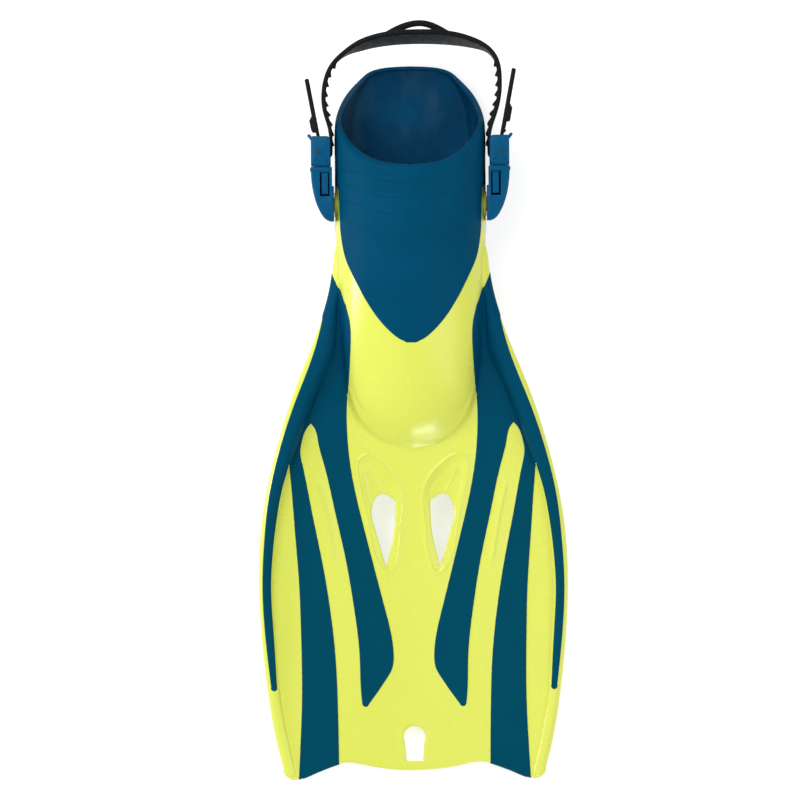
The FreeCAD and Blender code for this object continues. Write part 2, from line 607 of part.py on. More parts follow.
def lever_spring():
    """Leaf spring on the frame's floor that presses on the heel of the lever."""
    strip = [(66.2, FRAME_FLOOR_Y), (66.6, FRAME_FLOOR_Y), (66.4, 171.2), (67.3, 173.2),
             (67.0, 173.5), (66.0, 171.4)]
    return plate(strip, PIVOT_Z - 4, PIVOT_Z + 4)


# ---- strap --------------------------------------------------------------------------------------

def level(pairs, z):
    """(x, y) pairs as points at one height."""
    return [Vec(x, y, z) for x, y in pairs]


def offset_inwards(points, distances):
    """Each point moved square to the run of the points, towards the foot."""
    moved = []
    for index, point in enumerate(points):
        ahead = points[min(index + 1, len(points) - 1)]
        behind = points[max(index - 1, 0)]
        run = ahead.sub(behind).normalize()
        if index in (0, len(points) - 1):
            run = Vec(0, math.copysign(1, run.y), 0)
        moved.append(point.add(Vec(run.y, -run.x, 0).multiply(distances[index])))
    return moved


def tooth(at, run, inward, height, length):
    """Saw tooth with its steep face towards the buckle, in plan."""
    root = at.sub(Vec(inward).multiply(0.6))
    corners = [root.sub(Vec(run).multiply(0.7)), at.sub(Vec(run).multiply(0.5)),
               at.add(Vec(inward).multiply(height)), at.add(Vec(run).multiply(length)),
               root.add(Vec(run).multiply(length))]
    return Part.Face(Part.makePolygon(corners + corners[:1]))


def strap_band():
    """Strap with its heel pad, from one roller to the other."""
    low = PIVOT_Z - 25
    outer = level(STRAP_OUTER, low)
    inner = offset_inwards(outer, STRAP_THICK)
    inner_edge = spline(inner)
    edges = [spline(outer), inner_edge, line(outer[0], inner[0]), line(outer[-1], inner[-1])]
    band = face_of(edges).extrude(Vec(0, 0, 50))
    upper = [Vec(x, 100, PIVOT_Z + z) for x, z in STRAP_WIDTH]
    lower = [Vec(x, 100, PIVOT_Z - z) for x, z in STRAP_WIDTH]
    edges = [spline(upper), spline(lower), line(upper[0], lower[0]), line(upper[-1], lower[-1])]
    return band.common(face_of(edges).extrude(Vec(0, 200, 0))), inner_edge


def band_teeth(inner_edge):
    """Ladder teeth on the inner side of the strap, from each buckle up to the heel pad."""
    faces = []
    curve, length = inner_edge.Curve, inner_edge.Length
    for from_right in (False, True):
        for number in range(9):
            reach = 5.0 + TOOTH_PITCH * number
            where = curve.parameterAtDistance(length - reach if from_right else reach)
            at = curve.value(where)
            run = Vec(*curve.tangent(where)[0])
            run = run.multiply(-1) if from_right else run
            inward = Vec(run.y, -run.x, 0)
            inward = inward.multiply(-1) if from_right else inward
            height = 1.2 if number < 3 else 1.8
            faces.append(tooth(at, run, inward, height, 4.4))
    return faces


def tail(name):
    """Turn round the roller and the tail behind it, for the right side; some teeth and a stop."""
    size = TAILS[name]
    low = PIVOT_Z - STRAP_HALF_Z
    lean = math.atan(TAIL_LEAN)
    centre = Vec(ROLLER_X, ROLLER_Y, low)
    along = Vec(math.sin(lean), math.cos(lean), 0)
    across = Vec(math.cos(lean), -math.sin(lean), 0)

    def at(distance, height):
        """Point on the tail, from the end of the turn and out from the roller side."""
        return centre.add(Vec(across).multiply(TURN_R + height)).add(Vec(along).multiply(distance))

    reach = (size["end_y"] - ROLLER_Y) / math.cos(lean)
    corners = [at(0, 0), at(reach - 1, 0.3), at(reach, 0.8), at(reach, 1.6), at(reach - 0.8, 2.3),
               at(0, STRAP_BUCKLE_T + 0.2)]
    faces = [Part.Face(Part.makePolygon(corners + corners[:1]))]
    start = (size["block_y"] - ROLLER_Y) / math.cos(lean)
    top = start + size["block_length"]
    corners = [at(start, 1), at(start, 4.2), at(start + 1.0, 4.9), at(top - 3, 4.9), at(top, 2.2),
               at(top, 1)]
    faces.append(Part.Face(Part.makePolygon(corners + corners[:1])))
    number = 0
    while 1.2 + TOOTH_PITCH * number < start - 5.2:
        foot = 1.2 + TOOTH_PITCH * number
        corners = [at(foot - 1.4, 1), at(foot - 1.4, 2.2), at(foot + 0.7, 3.6), at(foot + 1.3, 2.2),
                   at(foot + 1.3, 1)]
        faces.append(Part.Face(Part.makePolygon(corners + corners[:1])))
        number += 1
    start_angle = math.pi
    end_angle = 2 * math.pi - lean

    def ring(radius):
        """Arc of the turn."""
        angles = (start_angle, (start_angle + end_angle) / 2, end_angle)
        return [centre.add(Vec(radius * math.cos(a), radius * math.sin(a), 0)) for a in angles]

    inside, outside = ring(TURN_R), ring(TURN_R + STRAP_BUCKLE_T)
    faces.append(face_of([arc(inside), arc(outside), line(inside[0], outside[0]),
                          line(inside[2], outside[2])]))
    solids = [face.extrude(Vec(0, 0, 2 * STRAP_HALF_Z)) for face in faces]
    body = solids[0].multiFuse(solids[1:])
    return body if name == "right" else mirrored(body)


def finger_loop():
    """Loop behind the heel pad."""
    low = PIVOT_Z - LOOP_HALF_Z
    outer, inner = level(LOOP_OUTER, low), level(LOOP_INNER, low)
    edges = [spline(outer), spline(inner), line(outer[0], inner[0]), line(outer[-1], inner[-1])]
    return face_of(edges).extrude(Vec(0, 0, 2 * LOOP_HALF_Z))


def heel_strap():
    """The whole rubber strap."""
    band, inner_edge = strap_band()
    teeth = []
    for face in band_teeth(inner_edge):
        solid = face.extrude(Vec(0, 0, 2 * STRAP_HALF_Z - 1.2))
        solid.translate(Vec(0, 0, 25 - STRAP_HALF_Z + 0.6))
        teeth.append(solid)
    inner_side = level(STRAP_OUTER, PIVOT_Z - 25)
    loop = finger_loop().cut(inside_of(inner_side))
    return largest(band.multiFuse(teeth + [tail("right"), tail("left"), loop]))


def inside_of(points):
    """Prism on everything within the strap's outer side, moved in a little."""
    moved = offset_inwards(points, [1.0] * len(points))
    edges = [spline(moved), line(moved[0], moved[-1])]
    return face_of(edges).extrude(Vec(0, 0, 60))


# ---- nodes --------------------------------------------------------------------------------------

def all_nodes():
    """Every piece by name."""
    nodes = hull_nodes()
    nodes["heel_strap"] = heel_strap()
    makers = {"pivot_stud": pivot_stud, "buckle_socket": buckle_socket,
              "buckle_frame": buckle_frame, "strap_roller": strap_roller,
              "roller_pin": roller_pin, "lever_pins": lever_pins,
              "ratchet_lever": ratchet_lever, "lever_spring": lever_spring,
              "release_prong_upper": lambda: release_prong(True),
              "release_prong_lower": lambda: release_prong(False)}
    for name, maker in makers.items():
        shape = maker()
        nodes[name + "_right"] = shape
        nodes[name + "_left"] = mirrored(shape)
    return nodes


os.makedirs("parts", exist_ok=True)
for node, shape in all_nodes().items():
    box = shape.BoundBox
    print(node, "valid" if shape.isValid() else "INVALID", len(shape.Solids), "solids",
          round(shape.Volume / 1000, 2), "cm3",
          [round(v, 1) for v in (box.XMin, box.XMax, box.YMin, box.YMax, box.ZMin, box.ZMax)])
    shape.exportStep("parts/" + node + ".step")
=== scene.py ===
import math

import bmesh
import bpy
import numpy as np
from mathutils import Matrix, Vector, geometry, kdtree


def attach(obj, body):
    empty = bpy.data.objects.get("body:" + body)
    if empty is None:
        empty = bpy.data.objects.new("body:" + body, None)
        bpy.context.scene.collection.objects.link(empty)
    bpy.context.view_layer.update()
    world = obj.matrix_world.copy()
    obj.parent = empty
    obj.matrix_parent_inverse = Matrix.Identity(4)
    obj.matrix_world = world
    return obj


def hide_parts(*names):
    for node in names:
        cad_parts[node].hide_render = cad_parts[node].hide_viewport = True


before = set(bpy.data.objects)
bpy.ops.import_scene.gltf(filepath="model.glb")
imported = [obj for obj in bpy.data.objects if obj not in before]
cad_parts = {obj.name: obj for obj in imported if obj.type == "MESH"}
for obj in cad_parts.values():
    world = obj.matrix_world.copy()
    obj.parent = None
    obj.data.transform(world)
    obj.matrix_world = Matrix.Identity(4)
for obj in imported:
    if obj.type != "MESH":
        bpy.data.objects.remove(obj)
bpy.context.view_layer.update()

# Open-heel swim fin. Shapes are worked out in millimetres in the frame of the CAD model and made
# in metres. Curves are (y, half width) or (y, z) unless said otherwise.

MM = 0.001
HEEL_Y = 234.0
SOLE_SLOPE = 0.094
FOOTBED = 7.0
NOSE_Y = -31.0              # front of the toe box
BLADE_ROOT = (-40.0, 36.0)  # y and z of the middle of the blade at its root
BLADE_SLOPE = 0.1322
WEB_ROOT, WEB_TIP, TIP_Y = 4.6, 3.6, -265.6
CORE = 1.8                  # hard layer under the soft shoulders
INSERT_SPLIT_Y = -47.0      # in front of this line the ribs go through the blade
PROUD = 0.4                 # the soft plastic stands this far above the hard one
FILLET = 5.0                # between the blade and the sides of the toe box
RAIL_ROUND = 5.0            # rounding along the top of the side rails
HOLE_ROUND = 1.1
SCOOP_DEPTH = 1.7

OUTLINE = [(112, 51.4), (107, 52.9), (91, 55), (65.5, 60.4), (40, 69.4), (6.7, 82.8), (-35, 95.9),
           (-77, 105), (-120, 108.4), (-161, 107.1), (-205, 102.7), (-245, 95.6), (-257, 92.5)]
TIP_CORNER = [(-257, 92.5), (-263.4, 90.2), (TIP_Y, 84.5)]
TIP_EDGE = [(TIP_Y, 84.5), (-264.2, 78), (-260.4, 69), (-256.3, 58.5), (-253.5, 47), (-255.2, 36),
            (-258.2, 19), (-259.5, 0)]
HEEL_OUTLINE = [(150, 58), (185, 53.4), (200, 51.3), (208, 48.8), (216.7, 44.8), (225, 39.3),
                (230.5, 34), (233.3, 27), (234.9, 15), (235.4, 0)]
POCKET_EDGE = [(152, 53.5), (149.5, 50.4), (141, 49.8), (124, 49.3), (107.5, 47.3), (99, 45.2),
               (90.7, 41.7), (74, 33.4), (57, 22.4), (48.9, 15), (44.3, 9.4), (42.1, 5), (41.3, 0)]
SHOULDER_INNER = [(94, 57), (82, 52), (74, 48.3), (65.5, 45.5), (57, 43.2), (48.7, 42.4),
                  (32, 42.9), (15, 44), (-1.7, 45.5), (-27, 45.2), (-44, 43.6), (-77, 37.1),
                  (-111, 28.7), (-145, 20.1), (-178, 14.2), (-187, 15.2), (-195, 19.6),
                  (-202, 24.3), (-209, 29.3), (-212.4, 31.8)]
INNER_RIB_END = [(-212.4, 31.8), (-214.3, 34.4), (-212.2, 36.6)]
INNER_RIB_OUTER = [(-212.2, 36.6), (-205, 37.3), (-178, 38.2), (-145, 41.8), (-111, 47.3),
                   (-77, 54.6), (-44, 62), (-27, 66.2), (-18.6, 68.3), (-15, 71)]
OUTER_RIB_INNER = [(-15, 71), (-18.6, 74), (-27, 77.2), (-35, 78.4), (-44, 77), (-77, 70.7),
                   (-111, 64), (-145, 58.6), (-178, 55.1), (-212, 53.7), (-254.4, 53.1)]
OUTER_RIB_TIP = [(-254.4, 53.1), (-256.3, 58.5), (-260.4, 69), (-264.2, 78), (-265.4, 81.6)]
OUTER_RIB_OUTER = [(-265.4, 81.6), (-240, 80.2), (-212, 79), (-161, 79.2), (-128, 80.2),
                   (-94, 82.6), (-60.6, 85), (-44, 86.5)]
RAIL_INNER = [(-44, 86.5), (-52, 89), (-60.6, 91.4), (-77, 94.7), (-111, 98.9), (-128, 99.8),
              (-161, 98.4), (-199.6, 96.3)]
STRIPE_END = [(-199.6, 96.3), (-202.8, 98.6), (-199.8, 100.5)]
STRIPE_OUTER = [(-199.8, 100.5), (-161, 104.5), (-128, 105.9), (-94, 104.1), (-69, 101.2),
                (-35, 93.5), (-1.7, 82.6), (32, 69.5), (43, 66), (53.5, 63.3), (61, 61.8),
                (68, 60.8), (78, 59.4), (94, 57)]
RAIL_FOOT = [(92, 49), (60, 52.5), (33, 55.5), (18, 61.8), (-10, 73.7), (-35, 82.4), (-52, 87.8),
             (-77, 93.5), (-111, 97.7), (-128, 98.6), (-161, 97.2), (-200, 94.8), (-245, 87.2),
             (-274, 80.4)]
RAIL_TOP = [(96, 52), (75, 57), (50, 60), (20, 59), (-10, 55), (-40, 49), (-100, 38), (-161, 27.5),
            (-203, 20), (-245, 13), (-274, 8.6)]
RAIL_BOTTOM = [(96, 46), (75, 40), (50, 35.5), (20, 29), (-10, 23), (-40, 18.5), (-100, 12),
               (-161, 6.2), (-203, 2.8), (-245, 0.5), (-262, 0), (-274, 0.3)]
ARM_LOWER = [(156, 52), (151, 44), (143, 39), (128, 35), (100, 31.5), (60, 28), (20, 24.5),
             (-12, 21.5)]
SOLE_FRONT = [(45, 60), (25, 50), (5, 40), (-6, 24), (-10, 0)]
RIM = [(165, 97), (165.4, 93.5), (167.5, 90), (174.5, 81.5), (185, 69.5), (190.5, 62.5),
       (198, 47), (206, 34.5), (214, 25), (222, 16.5), (230, 10), (240, 8.2)]
VENT = [(-69.2, 12.3), (-63.8, 21), (-67.5, 26.8), (-78, 29.6), (-117, 18.9), (-90, 12.7)]
VENT_ROUND = [1.4, 5, 6, 6, 3.4, 8]     # where the curve at each corner of VENT begins
SCOOP = [(-38, 32.5), (-41.5, 24), (-49, 15.8), (-58, 9.9), (-88, 9.5), (-110.5, 12.2),
         (-119.4, 17.4), (-114, 22.8), (-88, 29.9), (-66, 34.4), (-50, 37.4), (-41, 36.6)]
HANG_HOLE = [(-252.6, 5.7), (-239, 6.9), (-228.3, 0)]
STRIPE_RIDGE = [(-52, 66.6), (-85, 59.6), (-119, 54.4)]
SCOOP_CREASE = [(-62.5, 23.2), (-55, 27.4), (-46.5, 30.6)]
# y, half width, top z, widest z, bottom z (None: a little below the flat sole or footbed)
POCKET_OUTER = [(-31, 9, 39.5, 36.5, 34), (-28, 19, 44, 36.5, 32), (-21, 31, 51.5, 37, 28),
                (-11, 39.8, 59, 38, 24.2), (2, 44.4, 66, 40, None), (20, 46.8, 73, 42, None),
                (45, 49.8, 80.5, 43.5, None), (75, 51.8, 87, 44.5, None),
                (105, 52.5, 91.5, 45, None), (138, 52.5, 94, 45, None), (165, 52.5, 95, 45, None),
                (190, 52.6, 94, 45, None), (206, 51, 92, 45, None), (222, 48.5, 90, 45, None),
                (240, 45, 88, 45, None)]
POCKET_INNER = [(-11, 24, 47, 38, 33), (-4, 34.5, 55, 39, 30), (8, 40.6, 63.5, 41, None),
                (25, 43.8, 71, 42.5, None), (48, 46.5, 77.5, 43.5, None),
                (75, 48.3, 83.5, 44.5, None), (105, 49, 88, 45, None), (138, 49, 90.5, 45, None),
                (165, 49, 91.5, 45, None), (190, 49, 90.5, 45, None), (206, 46.6, 89, 45, None),
                (220, 41.5, 87, 45, None), (231.6, 33, 86, 45, None), (240, 28, 86, 45, None)]


# ---- curves -------------------------------------------------------------------------------------

QUARTER = np.radians((0, 30, 60, 90))      # steps round a rounded edge


def part_way(value, low, high):
    """How far value has come from low to high, kept between 0 and 1."""
    return np.clip((value - low) / (high - low), 0, 1)


def reach_along(line):
    """Distance along a line at each of its points."""
    return np.concatenate([[0], np.cumsum(np.linalg.norm(np.diff(line, axis=0), axis=1))])


def unit(vectors):
    """Rows of vectors, each made of length 1."""
    return vectors / np.linalg.norm(vectors, axis=1)[:, None]


def cubic(knots, values, where, closed=False):
    """Smooth curve through values at knots, read at where."""
    count, gaps = len(knots), np.diff(knots)
    slopes = np.diff(values, axis=0) / gaps[:, None]
    matrix, right = np.zeros((count, count)), np.zeros((count, values.shape[1]))
    for i in range(1, count - 1):
        matrix[i, i - 1:i + 2] = gaps[i - 1], 2 * (gaps[i - 1] + gaps[i]), gaps[i]
        right[i] = 6 * (slopes[i] - slopes[i - 1])
    matrix[0, 0] = 1
    if closed:
        matrix[0, -1] = -1
        matrix[-1, 0] = 2 * (gaps[0] + gaps[-1])
        matrix[-1, 1] = gaps[0]
        matrix[-1, -2] = gaps[-1]
        right[-1] = 6 * (slopes[0] - slopes[-1])
    else:
        matrix[-1, -1] = 1
    bend = np.linalg.solve(matrix, right)
    low = np.clip(np.searchsorted(knots, where, side="right") - 1, 0, count - 2)
    gap = gaps[low][:, None]
    after = (where[:, None] - knots[low][:, None]) / gap
    before = 1 - after
    curve = before * values[low] + after * values[low + 1]
    return curve + ((before ** 3 - before) * bend[low] + (after ** 3 - after) * bend[low + 1]) * gap ** 2 / 6


def spline(points, step=1.0, closed=False):
    """Evenly spaced points on a smooth curve."""
    points = np.array(points, float)
    if closed:
        points = np.vstack([points, points[:1]])
    knots = reach_along(points)
    count = max(3, int(round(knots[-1] / step)) + 1)
    dense = cubic(knots, points, np.linspace(0, knots[-1], count), closed)
    return dense[:-1] if closed else dense


def bow(points, step=1.0):
    """Evenly spaced points on the arc through three points."""
    (ax, ay), (bx, by), (cx, cy) = points
    scale = 2 * (ax * (by - cy) + bx * (cy - ay) + cx * (ay - by))
    a2, b2, c2 = ax * ax + ay * ay, bx * bx + by * by, cx * cx + cy * cy
    centre = np.array([(a2 * (by - cy) + b2 * (cy - ay) + c2 * (ay - by)) / scale,
                       (a2 * (cx - bx) + b2 * (ax - cx) + c2 * (bx - ax)) / scale])
    radius = math.hypot(ax - centre[0], ay - centre[1])
    angles = [math.atan2(y - centre[1], x - centre[0]) for x, y in points]
    angles = np.unwrap(angles)
    count = max(5, int(radius * abs(angles[2] - angles[0]) / step) + 1)
    turn = np.linspace(angles[0], angles[2], count)
    return centre + radius * np.stack([np.cos(turn), np.sin(turn)], 1)


def along(pairs):
    """Function of the first coordinate through pairs."""
    dense = spline(pairs, 0.4)
    dense = dense[np.argsort(dense[:, 0])]
    return lambda at: np.interp(at, dense[:, 0], dense[:, 1])


def smoothstep(value, low, high):
    """part_way with a smooth start and end."""
    share = part_way(value, low, high)
    return share * share * (3 - 2 * share)


def smooth_max(a, b, blend):
    """Greater of two heights, with a rounded corner where they are nearly equal."""
    share = np.clip(0.5 + 0.5 * (a - b) / blend, 0, 1)
    return b * (1 - share) + a * share + blend * share * (1 - share)


def quarter_circle(share):
    """Height of a quarter of a circle, from 0 at its steep end to 1 at its level end."""
    return np.sqrt(1 - (1 - np.clip(share, 0, 1)) ** 2)


def bulge(share, power):
    """Height of a superellipse at a share of its half width."""
    return np.clip(1 - np.abs(share) ** power, 0, 1) ** (1 / power)


def sole_z(y):
    """Height of the flat sole."""
    return SOLE_SLOPE * (HEEL_Y - y)


def blade_z(y):
    """Height of the middle of the blade."""
    return BLADE_ROOT[1] + BLADE_SLOPE * (y - BLADE_ROOT[0])


def web_half(y):
    """Half the thickness of the blade between its rails."""
    return (WEB_ROOT + (WEB_TIP - WEB_ROOT) * part_way(y, BLADE_ROOT[0], TIP_Y)) / 2


def shell_curves(rows, below):
    """Half width, top, widest height and bottom of a shell as functions of y."""
    full = [(y, half, top, mid, sole_z(y) + below if low is None else low)
            for y, half, top, mid, low in rows]
    return [along([(row[0], row[k]) for row in full]) for k in (1, 2, 3, 4)]


outline_half = along(OUTLINE)
rail_foot, rail_top, rail_bottom = along(RAIL_FOOT), along(RAIL_TOP), along(RAIL_BOTTOM)
heel_half, pocket_edge = along(HEEL_OUTLINE), along(POCKET_EDGE)
shoulder_inner = along(SHOULDER_INNER)
arm_lower, sole_front = along(ARM_LOWER), along(SOLE_FRONT)
OUTER = shell_curves(POCKET_OUTER, -3.0)
INNER = shell_curves(POCKET_INNER, FOOTBED - 2.0)


# ---- heights of the hard body, seen from above and from below -----------------------------------

def rail_share(across, y, width):
    """Rounded rise of a rail from its foot, from 0 to 1."""
    return quarter_circle((across - rail_foot(y)) / width)


def side_fillet(across, knee, reach):
    """Height of a concave rounding that starts at the knee."""
    return reach * (1 - quarter_circle((across - knee) / np.maximum(reach, 0.01)))


def fullness(y):
    """Exponent of the pocket's upper sections: rounder over the toes."""
    return 2.2 - 0.5 * smoothstep(-y, -16, 26)


def fillet_reach(y):
    """Size of the rounding between blade and toe box: none at the nose, large beside the instep."""
    return FILLET * smoothstep(y, -28, 2) + 7 * smoothstep(y, 25, 60)


def knee_x(y):
    """Half width of the toe box where its side meets the rounding above the blade."""
    half, top, mid = OUTER[0](y), OUTER[1](y), OUTER[2](y)
    reach = fillet_reach(y)
    return half * bulge(part_way(blade_z(y) + web_half(y) + reach, mid, top), fullness(y))


def boot_top(across, y):
    """Upper surface of the foot pocket, which falls steadily beyond its sides and nose."""
    half, top, mid = OUTER[0](y), OUTER[1](y), OUTER[2](y)
    beyond = np.clip(across - half, 0, None) + np.clip(NOSE_Y - y, 0, None)
    return mid + (top - mid) * bulge(np.minimum(across / half, 1), fullness(y)) - 2 * beyond


def height_top(x, y):
    """Upper surface of blade, rails and toe box."""
    across = np.abs(x)
    web = blade_z(y) + web_half(y)
    boot = boot_top(across, y)
    reach = fillet_reach(y)
    skin = smooth_max(web + side_fillet(across, knee_x(y), reach), boot, 4 + 5 * smoothstep(-y, -20, 8))
    width = np.maximum(0.5 * (outline_half(y) - rail_foot(y)), 0.5)
    rise = np.clip(rail_top(y) - web, 0, None)
    rail = web + rise * rail_share(across, y, width)
    rail = np.where(across > rail_foot(y), rail, web - 1.5 * (rail_foot(y) - across))
    return smooth_max(skin, rail, 1.2 + 17 * smoothstep(y, 5, 55) * (1 - 0.3 * smoothstep(y, 70, 95)))


def height_bottom(x, y):
    """Lower surface of blade, rails and toe box."""
    across = np.abs(x)
    web = blade_z(y) - web_half(y)
    half, mid, low = OUTER[0](y), OUTER[2](y), OUTER[3](y)
    on_boot = (across < half) & (y > NOSE_Y)
    boot = mid - (mid - low) * bulge(across / half, 3.5)
    boot = np.where(on_boot, smooth_max(boot, sole_z(y), 1.5), 199.0)
    reach = FILLET * smoothstep(y, -28, 2)
    knee = half * bulge(np.clip((mid - web + reach) / (mid - low), 0, 1), 3.5)
    skin = -smooth_max(-web + side_fillet(across, knee, reach), -boot, 4.0)
    fall = np.clip(web - rail_bottom(y), 0, None)
    rail = np.where(across > rail_foot(y), web - fall * rail_share(across, y, 3.5), 199.0)
    return -smooth_max(-skin, -rail, 1.2)


# ---- plan regions lifted into closed bodies -----------------------------------------------------

def tree_of(points):
    """Search tree over points in plan."""
    tree = kdtree.KDTree(len(points))
    for index, (x, y) in enumerate(points):
        tree.insert((x, y, 0), index)
    tree.balance()
    return tree


class Border:
    """Lines in plan, and the distance from points to them."""

    def __init__(self, lines, closed=True):
        starts, ends = [], []
        for line in lines:
            starts.append(line if closed else line[:-1])
            ends.append(np.roll(line, -1, axis=0) if closed else line[1:])
        self.starts, ends = np.vstack(starts), np.vstack(ends)
        self.runs = ends - self.starts
        self.tree = tree_of(self.starts + self.runs / 2)

    def distance(self, points):
        """Distance from each point to the nearest line."""
        near = np.array([[hit[1] for hit in self.tree.find_n((x, y, 0), 4)] for x, y in points])
        offset = points[:, None] - self.starts[near]
        runs = self.runs[near]
        length = np.maximum((runs ** 2).sum(2), 1e-12)
        share = np.clip((offset * runs).sum(2) / length, 0, 1)
        return np.linalg.norm(offset - runs * share[..., None], axis=2).min(1)


def inside(loops, points):
    """Whether each point is in the region of the loops."""
    x, y = points.T
    odd = np.zeros(len(points), bool)
    for loop in loops:
        for (x0, y0), (x1, y1) in zip(loop, np.roll(loop, -1, axis=0)):
            if y0 != y1:
                odd ^= ((y0 > y) != (y1 > y)) & (x < (x1 - x0) * (y - y0) / (y1 - y0) + x0)
    return odd


def area(loop):
    """Area of a loop in plan: above 0 if it runs anticlockwise."""
    following = np.roll(loop, -1, axis=0)
    return ((loop[:, 0] * following[:, 1] - following[:, 0] * loop[:, 1]).sum()) / 2


def turned(loop, leftwards):
    """The loop, run so that its region lies to the left (True) or right of it."""
    return loop if (area(loop) > 0) == leftwards else loop[::-1]


def to_left(line, closed):
    """Unit vectors to the left of each point of a line."""
    if closed:
        run = np.roll(line, -1, axis=0) - np.roll(line, 1, axis=0)
    else:
        run = np.gradient(line, axis=0)
    run = unit(run)
    return np.stack([-run[:, 1], run[:, 0]], 1)


def rows_beside(line, offsets):
    """Rows of points beside an open line."""
    left = to_left(line, False)
    return [line + left * offset for offset in offsets]


def lattice(step, low, high):
    """Staggered points that fill a box in plan."""
    rows = []
    for index, y in enumerate(np.arange(low[1], high[1], step * 0.866)):
        x = np.arange(low[0] + (index % 2) * step / 2, high[0], step)
        rows.append(np.stack([x, np.full(len(x), y)], 1))
    return np.vstack(rows)


def fill(loops, insets, rows, lattices):
    """Points and triangles on a plan region whose loops run with the region to their left."""
    border = Border(loops)
    spots = []
    for loop in loops:
        left = to_left(loop, True)
        for depth in insets:
            row = loop + left * depth
            spots.append(row[border.distance(row) > 0.97 * depth])
    rows = np.vstack(rows)
    rows = rows[inside(loops, rows)]
    spots.append(rows[border.distance(rows) > insets[-1] * 0.6])
    tree = tree_of(np.vstack(spots))
    for step, points in lattices:
        points = points[inside(loops, points)]
        points = points[border.distance(points) > insets[-1] + 0.4 * step]
        gaps = np.array([tree.find((x, y, 0))[2] for x, y in points])
        spots.append(points[gaps > 0.55 * step])
    edges, start = [], 0
    for loop in loops:
        count = len(loop)
        edges += [(start + k, start + (k + 1) % count) for k in range(count)]
        start += count
    flat = [tuple(p) for p in np.vstack(loops + spots)]
    made = geometry.delaunay_2d_cdt(flat, edges, [], 0, 1e-5)
    plan, faces = np.array([tuple(p) for p in made[0]]), np.array(made[2])
    faces = faces[inside(loops, plan[faces].mean(1))]
    corner = plan[faces]
    sides = corner[:, 1:] - corner[:, :1]
    size = sides[:, 0, 0] * sides[:, 1, 1] - sides[:, 0, 1] * sides[:, 1, 0]
    faces = np.where(size[:, None] < 0, faces[:, ::-1], faces)
    used, faces = np.unique(faces, return_inverse=True)
    return plan[used], faces.reshape(-1, 3)


def rim_edges(faces, count):
    """Edges that belong to one triangle only, as they run round it."""
    edges = np.vstack([faces[:, [0, 1]], faces[:, [1, 2]], faces[:, [2, 0]]])
    forward, back = edges[:, 0] * count + edges[:, 1], edges[:, 1] * count + edges[:, 0]
    return edges[~np.isin(forward, back)]


def normals_of(points, faces):
    """Unit normals at points, from the triangles round them."""
    a, b, c = points[faces[:, 0]], points[faces[:, 1]], points[faces[:, 2]]
    square = np.cross(b - a, c - a)
    total = np.zeros_like(points)
    for corner in range(3):
        np.add.at(total, faces[:, corner], square)
    return total / np.maximum(np.linalg.norm(total, axis=1), 1e-12)[:, None]


def closed_body(upper, lower, faces, levels=3):
    """Points and faces of a body between two surfaces on the same plan."""
    count = len(upper)
    edges = rim_edges(faces, count)
    rim = np.unique(edges)
    place = {vertex: k for k, vertex in enumerate(rim)}
    layers = [upper[rim] + (lower[rim] - upper[rim]) * k / (levels + 1) for k in range(1, levels + 1)]
    points = np.vstack([upper, lower] + layers)
    made = faces.tolist() + (faces[:, ::-1] + count).tolist()
    for a, b in edges.tolist():
        left = [a] + [2 * count + k * len(rim) + place[a] for k in range(levels)] + [a + count]
        right = [b] + [2 * count + k * len(rim) + place[b] for k in range(levels)] + [b + count]
        for k in range(levels + 1):
            made.append((right[k], left[k], left[k + 1], right[k + 1]))
    return points, made


# ---- making pieces ------------------------------------------------------------------------------

def show(mesh, name, materials, sharp):
    """Object in the scene from a mesh, smooth except across sharp edges."""
    mesh.shade_smooth()
    mesh.set_sharp_from_angle(angle=math.radians(sharp))
    made = bpy.data.objects.new(name, mesh)
    bpy.context.scene.collection.objects.link(made)
    for material in materials:
        mesh.materials.append(material)
    return made


def piece(name, points, faces, materials, sharp=40, merge=0.0, flip=False, second=0):
    """Object from millimetre points. The first faces, as many as second says, have the second
    material."""
    mesh = bpy.data.meshes.new(name)
    mesh.from_pydata((np.asarray(points) * MM).tolist(), [], faces)
    mesh.polygons.foreach_set("material_index", [int(k < second) for k in range(len(faces))])
    if merge or flip:
        work = bmesh.new()
        work.from_mesh(mesh)
        if merge:
            bmesh.ops.remove_doubles(work, verts=work.verts, dist=merge * MM)
            bmesh.ops.dissolve_degenerate(work, dist=merge * MM, edges=work.edges)
        bmesh.ops.recalc_face_normals(work, faces=work.faces)
        work.to_mesh(mesh)
        work.free()
    return show(mesh, name, materials, sharp)


def settle(made, body, slot, *nodes):
    """The piece rides on a body and stands for CAD nodes. Its slot is not used."""
    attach(made, body)
    if nodes:
        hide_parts(*nodes)
    return made


def mirrored(points, faces):
    """The same body on the other side of the fin."""
    return points * [-1, 1, 1], [tuple(reversed(face)) for face in faces]


def plan_of(pairs):
    """(y, half width) rows as (x, y) rows."""
    return np.asarray(pairs)[:, ::-1]


def both_sides(line):
    """A line of the right side, and its mirror image."""
    return [line, line * [-1, 1]]


# ---- blade, rails and toe box -------------------------------------------------------------------

# Extra rows of points beside a line, by their distance to its left, so that it stays sharp.
KNEE_ROWS = (-3.0, -1.8, -0.9, -0.3, 0.3, 0.9, 1.8, 3.0, 4.4, 6.0)
RAIL_ROWS = (-2.2, -1.0, -0.3, 0.3, 0.9, 1.8, 3.0, 4.5, 6.2)
RIDGE_ROWS = (-2.4, -1.5, -0.8, 0, 0.8, 1.5, 2.4)
SCOOP_ROWS = (-3.2, -2.0, -1.2, -0.5, 0, 0.6, 1.4, 2.4, 3.6)
EDGE_ROWS_IN = (0.12, 0.35, 0.8, 1.4, 2.2, 3.2, 4.4)


